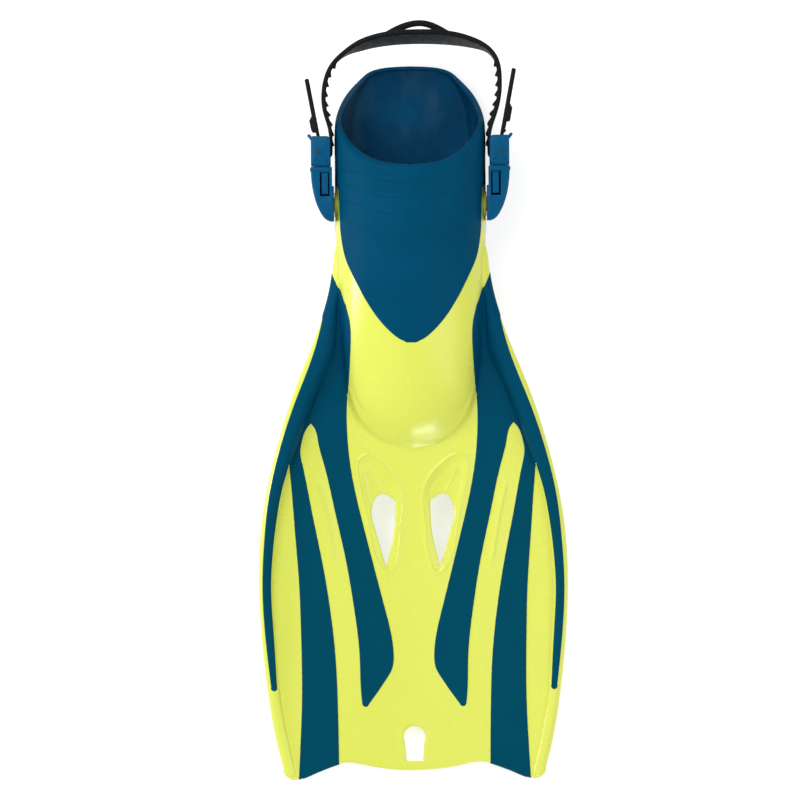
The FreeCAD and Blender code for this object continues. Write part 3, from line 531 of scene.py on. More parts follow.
def knee_line(front_y, back_y):
    """Foot of the pocket's right side, in plan."""
    y = np.arange(front_y, back_y, 1.6)
    return np.stack([knee_x(y), y], 1)


def half_outline(step):
    """Outline of the right half, from the middle of the tip to the rear of the shoulder."""
    parts = [spline(TIP_EDGE, step), bow(TIP_CORNER[::-1], step)[::-1], spline(OUTLINE, step)]
    return plan_of(np.vstack([parts[2], parts[1][1:], parts[0][1:]]))[::-1]


def corner_curve(corners, k, reach, count, even=False):
    """Points on a curve that cuts off corner k, from its reach before it to its reach after it. A
    short side shortens its own reach, or both of them if they are to be even."""
    here = corners[k]
    sides = [corners[k - 1] - here, corners[(k + 1) % len(corners)] - here]
    lengths = [np.linalg.norm(side) for side in sides]
    reaches = [min(reach, 0.45 * length) for length in lengths]
    if even:
        reaches = [min(reaches)] * 2
    start, end = (here + side / length * part for side, length, part in zip(sides, lengths, reaches))
    share = np.linspace(0, 1, count)[:, None]
    return start * (1 - share) ** 2 + 2 * here * share * (1 - share) + end * share ** 2


def rounded_corners(corners, reaches, step):
    """Closed line with straight sides and curved corners, in steps of about this length."""
    line = np.vstack([corner_curve(corners, k, reach, 9) for k, reach in enumerate(reaches)])
    line = np.vstack([line, line[:1]])
    reach = reach_along(line)
    at = np.linspace(0, reach[-1], int(reach[-1] / step))[:-1]
    return np.stack([np.interp(at, reach, line[:, k]) for k in (0, 1)], 1)


def arch_hole(step=0.8):
    """Outline of the hanging hole."""
    corner, shoulder, crown = [np.array([x, y]) for y, x in HANG_HOLE]
    side = np.linspace(corner, shoulder, 16)
    top = bow([shoulder, crown, shoulder * [-1, 1]], step)
    base = np.linspace(corner * [-1, 1], corner, 14)
    return np.vstack([side[:-1], top, (side[::-1] * [-1, 1])[1:], base[1:-1]])


RIGHT_EDGE = half_outline(1.3)
EDGE = Border([np.vstack([RIGHT_EDGE[::-1], RIGHT_EDGE[1:] * [-1, 1]])], closed=False)
HOLES = [turned(loop, False) for loop in both_sides(rounded_corners(plan_of(VENT), VENT_ROUND, 0.8))]
HOLES.append(turned(arch_hole(), False))
HOLE_EDGE = Border(HOLES)
SCOOPS = both_sides(plan_of(spline(SCOOP, 1.0, closed=True)))
RIDGES = both_sides(plan_of(spline(STRIPE_RIDGE, 1.0)))
CREASES = both_sides(plan_of(spline(SCOOP_CREASE, 1.0)))


def rounded(depth, radius):
    """Drop of a rounded edge at a distance from it."""
    return radius * (1 - quarter_circle(depth / radius))


def moulded_detail(plan):
    """Scoops round the vents, the rim of the hanging hole and the ridge on each stripe."""
    inner = inside(SCOOPS, plan)
    gap = Border(SCOOPS).distance(plan)
    dip = np.where(inner, smoothstep(gap, 0, 4.5), 0)
    deeper = 0.55 + 0.75 * smoothstep(plan[:, 1], -95, -55) * smoothstep(-plan[:, 1], 42, 58)
    lift = np.where(inner, 0, 0.75 * np.exp(-((gap - 0.9) / 0.85) ** 2))
    detail = lift - SCOOP_DEPTH * dip * deeper
    ends = smoothstep(plan[:, 1], -120, -106) * smoothstep(-plan[:, 1], 52, 62)
    ridge = Border(RIDGES, closed=False).distance(plan)
    detail += 1.3 * np.exp(-(ridge / 1.5) ** 2) * ends
    crease = Border(CREASES, closed=False).distance(plan)
    detail += 0.7 * np.exp(-(crease / 1.0) ** 2)
    arch = Border([HOLES[2]]).distance(plan)
    return detail + 0.45 * np.exp(-((arch - 2.6) / 1.0) ** 2)


def hard_heights(plan):
    """Upper and lower surface heights of the hard body at points in plan."""
    x, y = plan.T
    top, low = height_top(x, y), height_bottom(x, y)
    thick = top - low
    edge = EDGE.distance(plan)
    top = top - rounded(edge, np.clip(0.42 * thick, 0.6, RAIL_ROUND))
    low = low + rounded(edge, np.clip(0.3 * thick, 0.6, 2.2))
    return top, low


def blade_sheet():
    """Blade, rails and front of the toe box, open under the foot."""
    back_y, front_y = 112.0, -11.6
    y = np.arange(back_y, front_y, -1.5)
    inner = np.stack([INNER[0](y) + 0.5, y], 1)
    cross = np.stack([np.linspace(24.5, -24.5, 26), np.full(26, front_y)], 1)
    loop = np.vstack([RIGHT_EDGE, inner, cross, (inner * [-1, 1])[::-1],
                      (RIGHT_EDGE * [-1, 1])[::-1][:-1]])
    rows = []
    for lines, offsets in ((both_sides(plan_of(spline(RAIL_FOOT, 1.6))), RAIL_ROWS),
                           (both_sides(knee_line(-26, back_y)), KNEE_ROWS),
                           (RIDGES + CREASES, RIDGE_ROWS)):
        for line in lines:
            rows += rows_beside(line, offsets)
    for closed in SCOOPS:
        left = to_left(closed, True)
        rows += [closed + left * offset for offset in SCOOP_ROWS]
    boot = lattice(1.9, (-58, -36), (58, 30))
    vents = lattice(1.8, (-40, -124), (40, -36))
    wide = lattice(3.2, (-110, -270), (110, 115))
    plan, faces = fill([loop] + HOLES, EDGE_ROWS_IN, rows, [(1.9, boot), (1.8, vents), (3.2, wide)])
    top, low = hard_heights(plan)
    hole = HOLE_EDGE.distance(plan)
    top += moulded_detail(plan) - rounded(hole, HOLE_ROUND)
    low += rounded(hole, HOLE_ROUND)
    x, y = plan.T
    sunk = smoothstep(knee_x(y) - np.abs(x), 1, 5) * smoothstep(y, -17, -12)
    flush = smoothstep(INNER[0](y) + 2.5 - np.abs(x), 0, 2) * smoothstep(y, 30, 50)
    top = (top - 0.08 * sunk) * (1 - flush) + (boot_top(np.abs(x), y) - 0.1) * flush
    inserts = both_sides(insert_loop())
    steep = np.clip(normals_of(np.column_stack([plan, top]), faces)[:, 2], 0.35, 1)
    covered = np.where(inside(inserts, plan), Border(inserts).distance(plan), 0)
    top -= 0.7 * smoothstep(covered, 0.7, 2.6) / steep
    return closed_body(np.column_stack([plan, top]), np.column_stack([plan, low]), faces)


# ---- soft shoulders, rail stripes and ribs ------------------------------------------------------

def insert_loop(step=1.1):
    """Outline of the soft insert of the right side."""
    chain = (SHOULDER_INNER, INNER_RIB_END, INNER_RIB_OUTER, OUTER_RIB_INNER, OUTER_RIB_TIP,
             OUTER_RIB_OUTER, RAIL_INNER, STRIPE_END, STRIPE_OUTER)
    parts = [bow(part, 0.5) if len(part) == 3 else spline(part, step) for part in chain]
    loop = plan_of(np.vstack([part[:-1] for part in parts] + [parts[-1][-1:]]))
    limit = np.where(loop[:, 1] > 52, outline_half(loop[:, 1]), 1e3)
    loop[:, 0] = np.minimum(loop[:, 0], limit)
    return turned(loop, True)


def soft_insert():
    """Soft insert of the right side: laid in the hard body, and right through it in front."""
    loop = insert_loop()
    rows = rows_beside(knee_line(-22, 94), KNEE_ROWS)
    rows += rows_beside(plan_of(spline(RAIL_FOOT, 1.6)), RAIL_ROWS)
    x = np.arange(40, 100, 0.9)
    rows += [np.stack([x, np.full(len(x), INSERT_SPLIT_Y + shift)], 1) for shift in (0.25, -0.25)]
    wide = lattice(2.6, (10, -268), (110, 97))
    plan, faces = fill([loop], (0.12, 0.35, 0.8, 1.6), rows, [(2.6, wide)])
    top, low = hard_heights(plan)
    upper, under = np.column_stack([plan, top]), np.column_stack([plan, low])
    up, down = normals_of(upper, faces), -normals_of(under, faces)
    own = Border([loop]).distance(plan)
    edge = EDGE.distance(plan)
    at_edge = (edge < 0.3) & (own < 0.05)
    rise = np.interp(own, (0, 0.12, 0.35, 0.8), (-0.15, 0.18, 0.36, PROUD))
    rise = np.where(at_edge, PROUD, rise)[:, None]
    laid = (plan[:, 1] > INSERT_SPLIT_Y) | (plan[:, 0] > RAIL_INNER[0][1] + 0.3)
    outwards = up * [1, 1, 0]
    outwards /= np.maximum(np.linalg.norm(outwards, axis=1), 1e-9)[:, None]
    upper += up * rise
    core = blade_z(plan[:, 1]) - web_half(plan[:, 1]) + CORE
    deep = at_edge & (plan[:, 1] > 44) & (core < top - 1)
    bottom = under + down * rise
    bottom[laid] = (np.column_stack([plan, top]) - up * 0.9)[laid]
    pushed = plan + outwards[:, :2] * PROUD
    bottom[deep, 2] = core[deep]
    bottom[deep, :2] = pushed[deep]
    tip = at_edge & ~laid
    upper[tip, :2] = bottom[tip, :2] = pushed[tip]
    return closed_body(upper, bottom, faces)


# ---- foot pocket --------------------------------------------------------------------------------

RIM_Y = along([(z, y) for y, z in reversed(RIM)])
STRAIGHT_BACK = 120.0       # behind this the sections lean towards the slanted opening


def heel_inner_half(wall):
    """Half width inside the heel, as a function of y: a wall's thickness in from its outline."""
    line = spline(HEEL_OUTLINE, 0.4)
    moved = line + to_left(line, False) * -wall
    moved = moved[moved[:, 1] > 0]
    moved = np.vstack([moved, [moved[-1, 0] + 0.05, 0]])
    moved = moved[np.argsort(moved[:, 0])]
    return lambda y: np.interp(y, moved[:, 0], moved[:, 1])


def lean_of(z_top, z_low, y_top, y_low):
    """How far the rim curve lies from its chord, as a function of the share of the way down."""
    share = np.linspace(0, 1, 200)
    z = z_top + (z_low - z_top) * share
    gap = RIM_Y(z) - (y_top + (y_low - y_top) * share)
    gap -= gap[0] * (1 - share) + gap[-1] * share
    return lambda at: np.interp(at, share, gap)


class Shell:
    """One skin of the foot pocket, as a table of sections from the toe to the rim."""

    COLUMNS = 500

    def __init__(self, curves, floor, half_limit, front_y, rim_top, end_y, rim_low, splay=None):
        """rim_top is (y, z) where the rim crosses the instep, end_y and rim_low where it ends at
        the heel. Sections stand upright as far as STRAIGHT_BACK, and then lean towards the rim."""
        self.half, self.top, self.mid, self.low = curves
        self.floor, self.limit, self.splay = floor, half_limit, splay
        rows = []
        for y in np.arange(front_y, STRAIGHT_BACK, 1.0):
            rows.append(self.section(y, self.top(y), y, self.floor_z(y), None))
        lean = lean_of(rim_top[1], rim_low, rim_top[0], end_y)
        flat = end_y - STRAIGHT_BACK
        climb = rim_low - self.floor_z(end_y)
        for share in np.linspace(0, 1, 60) ** 0.9:
            y_top = STRAIGHT_BACK + (rim_top[0] - STRAIGHT_BACK) * share
            z_top = self.top(y_top) + (rim_top[1] - self.top(rim_top[0])) * share
            run = (flat + climb) * share
            y_low = STRAIGHT_BACK + min(run, flat)
            z_low = self.floor_z(y_low) + max(run - flat, 0)
            rows.append(self.section(y_top, z_top, y_low, z_low, lambda s: lean(s) * share ** 2))
        self.table = np.array(rows)

    def floor_z(self, y):
        """Lowest height of the skin."""
        return np.maximum(self.low(y), self.floor(y))

    def width(self, y, z):
        """Half width at a height: rounded above the widest place, splayed or rounded below it."""
        half, mid = np.minimum(self.half(y), self.limit(y)), self.mid(y)
        up = bulge(part_way(z, mid, self.top(y)), fullness(y))
        if self.splay:
            down = 1 - self.splay * part_way(z, mid, self.floor_z(y)) ** 1.4
        else:
            down = bulge(part_way(z, mid, self.low(y)), 3.5)
        return half * np.where(z > mid, up, down)

    def section(self, y_top, z_top, y_low, z_low, lean):
        """Half a section from the top centre down to the bottom centre."""
        share = (1 - np.cos(np.pi * np.linspace(0, 1, 700))) / 2
        y = y_top + (y_low - y_top) * share
        if lean:
            y = y + lean(share)
        z = z_top + (z_low - z_top) * share
        x = self.width(y, z)
        x[0] = 0
        line = np.column_stack([x, y, z])
        across = np.linspace(x[-1], 0, 60)[1:]
        line = np.vstack([line, np.column_stack([across, np.full(59, y[-1]), np.full(59, z[-1])])])
        line = self.evenly(line, 900)
        wide = np.pad(line, ((9, 9), (0, 0)), mode="reflect", reflect_type="odd")
        soft = np.mean([wide[k:k + len(line)] for k in range(19)], axis=0)
        soft[[0, -1]] = line[[0, -1]]
        return self.evenly(soft, self.COLUMNS)

    @staticmethod
    def evenly(line, count):
        """The line, as points at even steps."""
        reach = reach_along(line)
        reach += np.linspace(0, 1e-6, len(reach))
        at = np.linspace(0, reach[-1], count)
        return np.column_stack([np.interp(at, reach, line[:, k]) for k in range(3)])

    def at(self, rows, columns):
        """Points at fractional rows, one row number for each column number."""
        low = np.clip(rows.astype(int), 0, len(self.table) - 2)
        part = (rows - low)[..., None]
        left = np.clip(columns.astype(int), 0, self.COLUMNS - 2)
        side = (columns - left)[..., None]
        near = self.table[low, left] * (1 - side) + self.table[low, left + 1] * side
        far = self.table[low + 1, left] * (1 - side) + self.table[low + 1, left + 1] * side
        return near * (1 - part) + far * part


def softness(points):
    """Above 0 where the pocket's skin is the soft plastic."""
    x, y, z = np.abs(points[..., 0]), points[..., 1], points[..., 2]
    front, back = POCKET_EDGE[-1][0], 151.6
    instep = np.where(y > front, pocket_edge(y) - x, y - front)
    instep = np.where(y > back, 5.0, instep)
    lower = np.minimum(arm_lower(y) - z, np.where(y > -10, sole_front(y) - x, y + 10))
    return np.maximum(instep, np.where(y > 45, arm_lower(y) - z, lower))


def edge_rows(shell, columns):
    """Row of the soft skin's front edge in each column."""
    table = shell.at(np.arange(len(shell.table))[:, None] + np.zeros(len(columns)),
                     columns + np.zeros((len(shell.table), 1)))
    value = softness(table)
    found = []
    for column in value.T:
        hard = np.nonzero(column <= 0)[0]
        last = hard[-1] if len(hard) else 0
        last = min(last, len(column) - 2)
        found.append(last + column[last] / (column[last] - column[last + 1]) if len(hard) else 0.0)
    return np.array(found)


def full_ring(rows):
    """Right-hand columns joined with their mirror image, as rows of a closed ring."""
    left = rows[:, -2:0:-1] * [-1, 1, 1]
    return np.concatenate([rows, left], axis=1)


def ring_normals(grid):
    """Outward unit normals of rows of closed rings."""
    around = np.roll(grid, -1, axis=1) - np.roll(grid, 1, axis=1)
    back = np.gradient(grid, axis=0)
    normal = np.cross(around, back)
    normal /= np.maximum(np.linalg.norm(normal, axis=2), 1e-9)[..., None]
    middle = grid.mean(1, keepdims=True)
    facing = (normal * (grid - middle)).sum()
    return normal if facing > 0 else -normal


def ring_faces(rows, columns, wrap=False):
    """Quads between rows of closed rings."""
    faces = []
    for r in range(rows if wrap else rows - 1):
        a, b = r * columns, ((r + 1) % rows) * columns
        faces += [(a + c, a + (c + 1) % columns, b + (c + 1) % columns, b + c)
                  for c in range(columns)]
    return faces


outer_shell = Shell(OUTER, sole_z, heel_half, -18.0, (162.4, 95.0), 235.4, 8.4)
inner_shell = Shell(INNER, lambda y: sole_z(y) + FOOTBED, heel_inner_half(2.4), -11.0,
                    (163.4, 92.6), 233.0, 9.6, splay=0.17)


def pocket_columns(count=190):
    """Column numbers, close together where the soft skin's front edge is long."""
    dense = np.linspace(0, Shell.COLUMNS - 1, 900)
    length = reach_along(outer_shell.at(edge_rows(outer_shell, dense), dense))
    measure = 0.6 * length / length[-1] + 0.4 * dense / dense[-1]
    return np.interp(np.linspace(0, 1, count), measure, dense)


COLUMNS = pocket_columns()
EDGE_ROWS = edge_rows(outer_shell, COLUMNS)
CUFF_STEPS = ((130.6, 0.45), (141.8, 0.5), (153.0, 0.45))   # y of each step at the middle, height
CUFF_BEND = 0.0045                                          # how the steps curve back at the sides
SKIN_GAPS = (0, 0.12, 0.35, 0.9, 4, 14)                     # rows behind the skin's front edge
SKIN_RISE = (-0.15, 0.16, 0.34, PROUD, PROUD, 0.12)         # and how proud the skin is there


def cuff_rise(points):
    """Raised cuff round the opening, in three steps that follow its front rim."""
    x, y, z = points[..., 0], points[..., 1], points[..., 2]
    y = y - CUFF_BEND * x ** 2
    rise = sum(height * smoothstep(y, edge - 0.8, edge + 0.8)
               + 0.35 * np.exp(-((y - edge - 0.9) / 0.8) ** 2) for edge, height in CUFF_STEPS)
    return rise * smoothstep(z, 56, 70)


def skin_rows(starts):
    """Rows of the outer skin behind its front edge: close ones first, then an even spread."""
    last = len(outer_shell.table) - 1
    rows = [starts + gap for gap in SKIN_GAPS[:4]]
    begin = rows[-1]
    rows += [begin + (last - begin) * share for share in np.linspace(0, 1, 130)[1:] ** 0.75]
    return rows


def pocket_skin():
    """Soft foot pocket: lining, lip and outer skin as one closed body. Also says how many of its
    faces, from the first, are the lining."""
    rows = skin_rows(EDGE_ROWS)
    grid = full_ring(np.array([outer_shell.at(row, COLUMNS) for row in rows]))
    normal = ring_normals(grid)
    gap = np.array([row - rows[0] for row in rows])
    gap = np.concatenate([gap, gap[:, -2:0:-1]], axis=1)
    rise = np.interp(gap, SKIN_GAPS, SKIN_RISE)
    outer = grid + normal * (rise + cuff_rise(grid))[..., None]
    last = len(inner_shell.table) - 1
    steps = np.linspace(0, last, 120)
    inner = full_ring(np.array([inner_shell.at(np.full(len(COLUMNS), s), COLUMNS) for s in steps]))
    crest = (inner[-1] + outer[-1]) / 2
    ahead = (unit(outer[-1] - outer[-2]) + unit(inner[-1] - inner[-2])) / 2
    half = (outer[-1] - inner[-1]) / 2
    size = np.linalg.norm(half, axis=1)[:, None]
    lip = [crest - half * math.cos(a) + ahead * size * 0.8 * math.sin(a)
           for a in np.radians((22, 45, 67, 90, 113, 135, 158))]
    toe = inner[0].mean(0)
    cap = [toe + (inner[0] - toe) * share + [0, -depth, 0]
           for share, depth in ((0.25, 2.9), (0.5, 2.5), (0.75, 1.6), (0.92, 0.6))]
    outwards = ring_normals(np.array([inner[0], inner[6]]))[0]
    back = [full_ring(inner_shell.at(np.clip(EDGE_ROWS * share - 7, 0, last), COLUMNS)[None])[0]
            + outwards * 0.9 for share in (1.0, 0.75, 0.5, 0.25, 0.0)]
    around = inner.shape[1]
    toe_in, toe_out = toe - [0, 3.0, 0], toe - [0, 4.2, 0]
    rings = [np.repeat([toe_in], around, axis=0), *cap, *inner, *lip, *outer[::-1], *back,
             toe_out + (back[-1] - toe_out) * 0.5, np.repeat([toe_out], around, axis=0)]
    lined_rings = len(cap) + len(inner) + (len(lip) + 1) // 2
    return np.array(rings).reshape(-1, 3), ring_faces(len(rings), around), lined_rings * around


def toe_box():
    """Hard toe box and arms as a closed shell, with its edge tucked under the soft skin."""
    front = np.linspace(0, 1, 70)
    rows = [np.clip(EDGE_ROWS - 0.4, 0.2, None) * share for share in front]
    rows += [np.clip(EDGE_ROWS, 0.4, None) + 0.25, np.clip(EDGE_ROWS, 0.4, None) + 0.8]
    grid = full_ring(np.array([outer_shell.at(row, COLUMNS) for row in rows]))
    normal = ring_normals(grid)
    rise = np.zeros(grid.shape[:2])
    rise[-1] = -0.3
    x, y, z = np.abs(grid[..., 0]), grid[..., 1], grid[..., 2]
    under = smoothstep(x - shoulder_inner(y), 0.2, 1.6) * smoothstep(z - blade_z(y), -1, 0.5)
    rise -= 1.3 * under * smoothstep(-y, -93, -91)
    outer = grid + normal * rise[..., None]
    inner = (grid - normal * 1.8)[::-1]
    rings = np.concatenate([outer, inner])
    return rings.reshape(-1, 3), ring_faces(len(rings), rings.shape[1], wrap=True)


def pivot_boss(side):
    """Round boss on the arm under the buckle's pivot."""
    profile = [(0, 53.2), (4.9, 53.2), (8.2, 53.2), (8.75, 53.0), (9.0, 52.5), (9.0, 49.6), (0, 49.6)]
    columns = 72
    turn = np.arange(columns) * 2 * np.pi / columns
    rings = np.array([np.column_stack([np.full(columns, side * x), PIVOT_Y + r * np.cos(turn),
                                       PIVOT_Z + r * np.sin(turn)]) for r, x in profile])
    return rings.reshape(-1, 3), ring_faces(len(profile), columns)


def joined(bodies):
    """Several closed bodies as one set of points and faces."""
    points, faces, start = [], [], 0
    for some_points, some_faces in bodies:
        points.append(np.asarray(some_points))
        faces += [tuple(v + start for v in face) for face in some_faces]
        start += len(some_points)
    return np.vstack(points), faces


# ---- strap --------------------------------------------------------------------------------------

PIVOT_Y, PIVOT_Z = 138.0, 50.0
ROLLER = np.array([58.6, 174.5])            # x and y of its axis on the right side
TURN_R = 2.2                                # inside of the strap round the roller
BUCKLE_T = 2.2                              # thickness of the strap there
# Curves of the strap and its loop are (x, y), and its width is (x, half width).
STRAP_OUTER = [(-56.4, 174.5), (-56.4, 181), (-57.6, 192), (-60.4, 201.5), (-61.8, 211),
               (-60.8, 223), (-56.4, 235), (-48.5, 243.6), (-34, 251.4), (-15, 255.8),
               (6.8, 257), (29, 255.8), (45, 252.4), (56.6, 246.8), (62.6, 238.6),
               (64.6, 226.5), (63.8, 211.5), (60.8, 200.5), (57.6, 191), (56.4, 181),
               (56.4, 174.5)]
STRAP_THICK = [2.2, 2.2, 2.8] + [3.1] * 5 + [3.4] * 5 + [3.1] * 5 + [2.8, 2.2, 2.2]
STRAP_WIDTH = [(-80, 10), (-60, 10), (-50, 10), (-36, 14.5), (-18, 19), (6.8, 20), (28, 19),
               (42, 14.5), (53, 10), (62, 10), (80, 10)]
LOOP_OUTER = [(-23.4, 253.4), (-17.5, 258), (-8.5, 263), (-0.5, 265.8), (6.8, 266.7), (14, 265.8),
              (22, 262.4), (30, 257.5), (35.6, 253.4)]
LOOP_INNER = [(-13.6, 253.4), (-9, 257), (-3, 260.4), (2.5, 262.1), (6.8, 262.6), (11.2, 262.1),
              (16.4, 260.2), (21.8, 257), (25.8, 253.4)]
LOOP_HALF_Z = 8.0
LOOP_X = 6.8
PAD_TILT = 0.16             # lean of the heel pad: its upper edge lies further back
TAIL_LEAN = math.atan(0.186)
TAIL_T = 2.4
TOOTH_PITCH = 7.0
# y of the tip, y of the front of the block near it, and the block's length
TAILS = {"right": (233.4, 196.6, 12.6), "left": (227.0, 189.6, 11.6)}


def saw(at, height, reach):
    """Height of a saw tooth a distance behind its steep face."""
    return np.interp(at, (-0.55, -0.15, 0.1, 0.5, reach * 0.8, reach), (0, 0.8, 1, 0.93, 0.12, 0)) * height


def tail_run(name):
    """Stations of one tail, for the right side, from its tip to the roller."""
    end_y, block_y, block_length = TAILS[name]
    reach = (end_y - ROLLER[1]) / math.cos(TAIL_LEAN)
    start = (block_y - ROLLER[1]) / math.cos(TAIL_LEAN)
    feet = np.arange(1.2, start - 5.2, TOOTH_PITCH)
    marks = [foot + d for foot in feet for d in (-1.4, -0.9, 0.2, 0.7, 0.95, 1.2, 1.5)]
    marks += [start + d for d in (-0.1, 0.05, 0.35, 0.8, 1.3)]
    marks += [start + block_length + d for d in (-3.2, -2.8, -1.5, -0.2, 0.1)]
    marks += [reach - d for d in (0, 0.25, 0.6, 1.0, 1.6)]
    at = np.unique(np.concatenate([np.arange(0, reach, 1.2), marks]))[::-1]
    teeth = np.zeros(len(at))
    for foot in feet:
        teeth = np.maximum(teeth, np.interp(at - foot, (-1.4, 0.55, 0.8, 1.05, 1.3), (0, 1.1, 1.15, 0.85, 0)))
    past = at - start
    block = np.interp(past, (0, 0.1, 0.4, 1.0, block_length - 3, block_length - 2.4, block_length),
                      (0, 1.5, 1.9, 2.2, 2.2, 1.9, 0))
    across = np.array([math.cos(TAIL_LEAN), -math.sin(TAIL_LEAN)])
    run = np.array([math.sin(TAIL_LEAN), math.cos(TAIL_LEAN)])
    point = ROLLER + across * TURN_R + run * at[:, None]
    left = reach - at
    low = np.interp(left, (0, 0.3, 1.0), (0.9, 0.4, 0))
    thick = np.minimum(np.interp(left, (0, 0.3, 0.9), (1.5, 2.0, 9)), TAIL_T + 0.7 * smoothstep(at, 14, 19))
    wide = np.interp(left, (0, 0.4, 1.2, 3), (8.6, 9.3, 9.8, 10))
    return [(p, across, n, t, w, max(a, b)) for p, n, t, w, a, b in
            zip(point, low, thick, wide, teeth, block)]


def turn_run():
    """Stations round the roller of the right side, from the tail to the band."""
    angles = np.linspace(-TAIL_LEAN, -math.pi, 26)[1:-1]
    return [(ROLLER + TURN_R * np.array([math.cos(a), math.sin(a)]),
             np.array([math.cos(a), math.sin(a)]), 0, BUCKLE_T, 10, 0) for a in angles]


def band_run():
    """Stations of the band, from the left roller round the heel to the right one."""
    points = np.array(STRAP_OUTER, float)
    knots = reach_along(points)
    dense = np.linspace(0, knots[-1], 3000)
    line = cubic(knots, points, dense)
    thick = np.interp(dense, knots, STRAP_THICK)
    run = np.gradient(line, axis=0)
    run[0], run[-1] = (0, 1), (0, -1)
    run = unit(run)
    inward = np.stack([run[:, 1], -run[:, 0]], 1)
    length = reach_along(line + inward * thick[:, None])
    marks, teeth = [], np.zeros(len(dense))
    for number in range(9):
        height = 1.2 if number < 3 else 1.8
        for foot, way in ((5 + TOOTH_PITCH * number, 1), (length[-1] - 5 - TOOTH_PITCH * number, -1)):
            teeth = np.maximum(teeth, saw((length - foot) * way, height, 4.4))
            marks += [foot + way * d for d in (-0.56, -0.35, -0.15, 0.1, 0.5, 2.0, 3.52, 4.4)]
    at = np.unique(np.concatenate([np.arange(0, length[-1], 1.6), marks, length[-1:]]))
    width = along(STRAP_WIDTH)
    picked = [np.interp(at, length, column) for column in
              (line[:, 0], line[:, 1], inward[:, 0], inward[:, 1], thick, teeth)]
    return [(np.array([x, y]), np.array([nx, ny]), 0, t, float(width(x)), h)
            for x, y, nx, ny, t, h in zip(*picked)]


def strap_section(point, across, low, thick, half, tooth):
    """Rounded section of the strap, with its tooth a little narrower than the band."""
    r = min(0.75, (thick - low) * 0.4)
    profile = [(low, share * (half - r)) for share in (0, 0.35, 0.7)]
    profile += [(low + r - r * math.cos(a), half - r + r * math.sin(a)) for a in QUARTER]
    profile += [(thick - r + r * math.sin(a), half - r + r * math.cos(a)) for a in QUARTER]
    inset = half - max(r, 0.6)
    profile += [(thick + tooth * 0.5, inset - 0.25), (thick + tooth * 0.95, inset - 0.55)]
    profile += [(thick + tooth, share * (inset - 1.0)) for share in (1, 0.7, 0.35, 0)]
    profile += [(n, -z) for n, z in profile[-2:0:-1]]
    n, z = np.array(profile).T
    flat = point + across * n[:, None]
    flat[:, 1] += PAD_TILT * z * smoothstep(-abs(point[0] - LOOP_X), -62, -40)
    return np.column_stack([flat, PIVOT_Z + z])


def swept(sections):
    """Closed body through sections, capped at both ends."""
    sections = np.array(sections)
    count, around = sections.shape[:2]
    faces = ring_faces(count, around)
    points = np.vstack([sections.reshape(-1, 3), sections[0].mean(0), sections[-1].mean(0)])
    first, last = count * around, count * around + 1
    faces += [(first, (k + 1) % around, k) for k in range(around)]
    base = (count - 1) * around
    faces += [(last, base + k, base + (k + 1) % around) for k in range(around)]
    return points, faces


def to_left_side(stations):
    """The same stations, mirrored to the left side."""
    flip = np.array([-1, 1])
    return [(p * flip, a * flip, *rest) for p, a, *rest in stations]


def heel_strap():
    """The whole strap: left tail, band and right tail in one run."""
    stations = to_left_side(tail_run("left") + turn_run()) + band_run()
    stations += (tail_run("right") + turn_run())[::-1]
    return swept([strap_section(*station) for station in stations])


def finger_loop():
    """Loop behind the heel pad, with its ends inside the pad."""
    outer, inner = spline(LOOP_OUTER, 0.25), spline(LOOP_INNER, 0.25)
    share = np.linspace(0, 1, 74)
    at_outer, at_inner = [np.stack([np.interp(share, np.linspace(0, 1, len(line)), line[:, k])
                                    for k in (0, 1)], 1) for line in (outer, inner)]
    sections = []
    turn = np.radians(np.arange(0, 91, 18))
    for far, near in zip(at_outer, at_inner):
        size = np.linalg.norm(far - near)
        r = min(1.1, 0.45 * size)
        step = (far - near) / size
        half = [(size - r + r * math.cos(a), LOOP_HALF_Z - r + r * math.sin(a)) for a in turn]
        half += [(r - r * math.cos(a), LOOP_HALF_Z - r + r * math.sin(a)) for a in turn[::-1]]
        profile = [(size, 0), (size, LOOP_HALF_Z / 2)] + half + [(0, LOOP_HALF_Z / 2), (0, 0)]
        profile += [(n, -z) for n, z in profile[-2:0:-1]]
        n, z = np.array(profile).T
        flat = near + step * n[:, None]
        flat[:, 1] += PAD_TILT * z * (1 - smoothstep(flat[:, 1], 254, 260))
        sections.append(np.column_stack([flat, PIVOT_Z + z]))
    return swept(sections)


# ---- buckles ------------------------------------------------------------------------------------

CHEEK_GAP = 11.6            # from the middle of the frame to the inside of a cheek
CHEEK_THICK = 3.6
FLAT_ANGLE = 1.0            # CAD faces that meet at less than this are joined, in degrees
SHARP_ANGLE = 32            # and edges sharper than this are rounded


def slab(corners, z0, z1, edge, corner):
    """Closed plate with the given corners in plan, rounded at its corners and along its edges."""
    corners = turned(np.array(corners, float), True)
    reaches = corner if isinstance(corner, (list, tuple)) else [corner] * len(corners)
    line = np.vstack([corner_curve(corners, k, reach, 7, even=True)
                      for k, reach in enumerate(reaches)])
    left = to_left(line, True)
    levels = [(angle, z0, 1) for angle in QUARTER] + [(angle, z1, -1) for angle in QUARTER[::-1]]
    return swept([np.column_stack([line + left * edge * (1 - math.sin(angle)),
                                   np.full(len(line), z + way * edge * (1 - math.cos(angle)))])
                  for angle, z, way in levels])


def box_slab(x0, x1, y0, y1, z0, z1, edge=0.35, corner=0.4):
    """Rectangular plate."""
    return slab([(x0, y0), (x1, y0), (x1, y1), (x0, y1)], z0, z1, edge, corner)


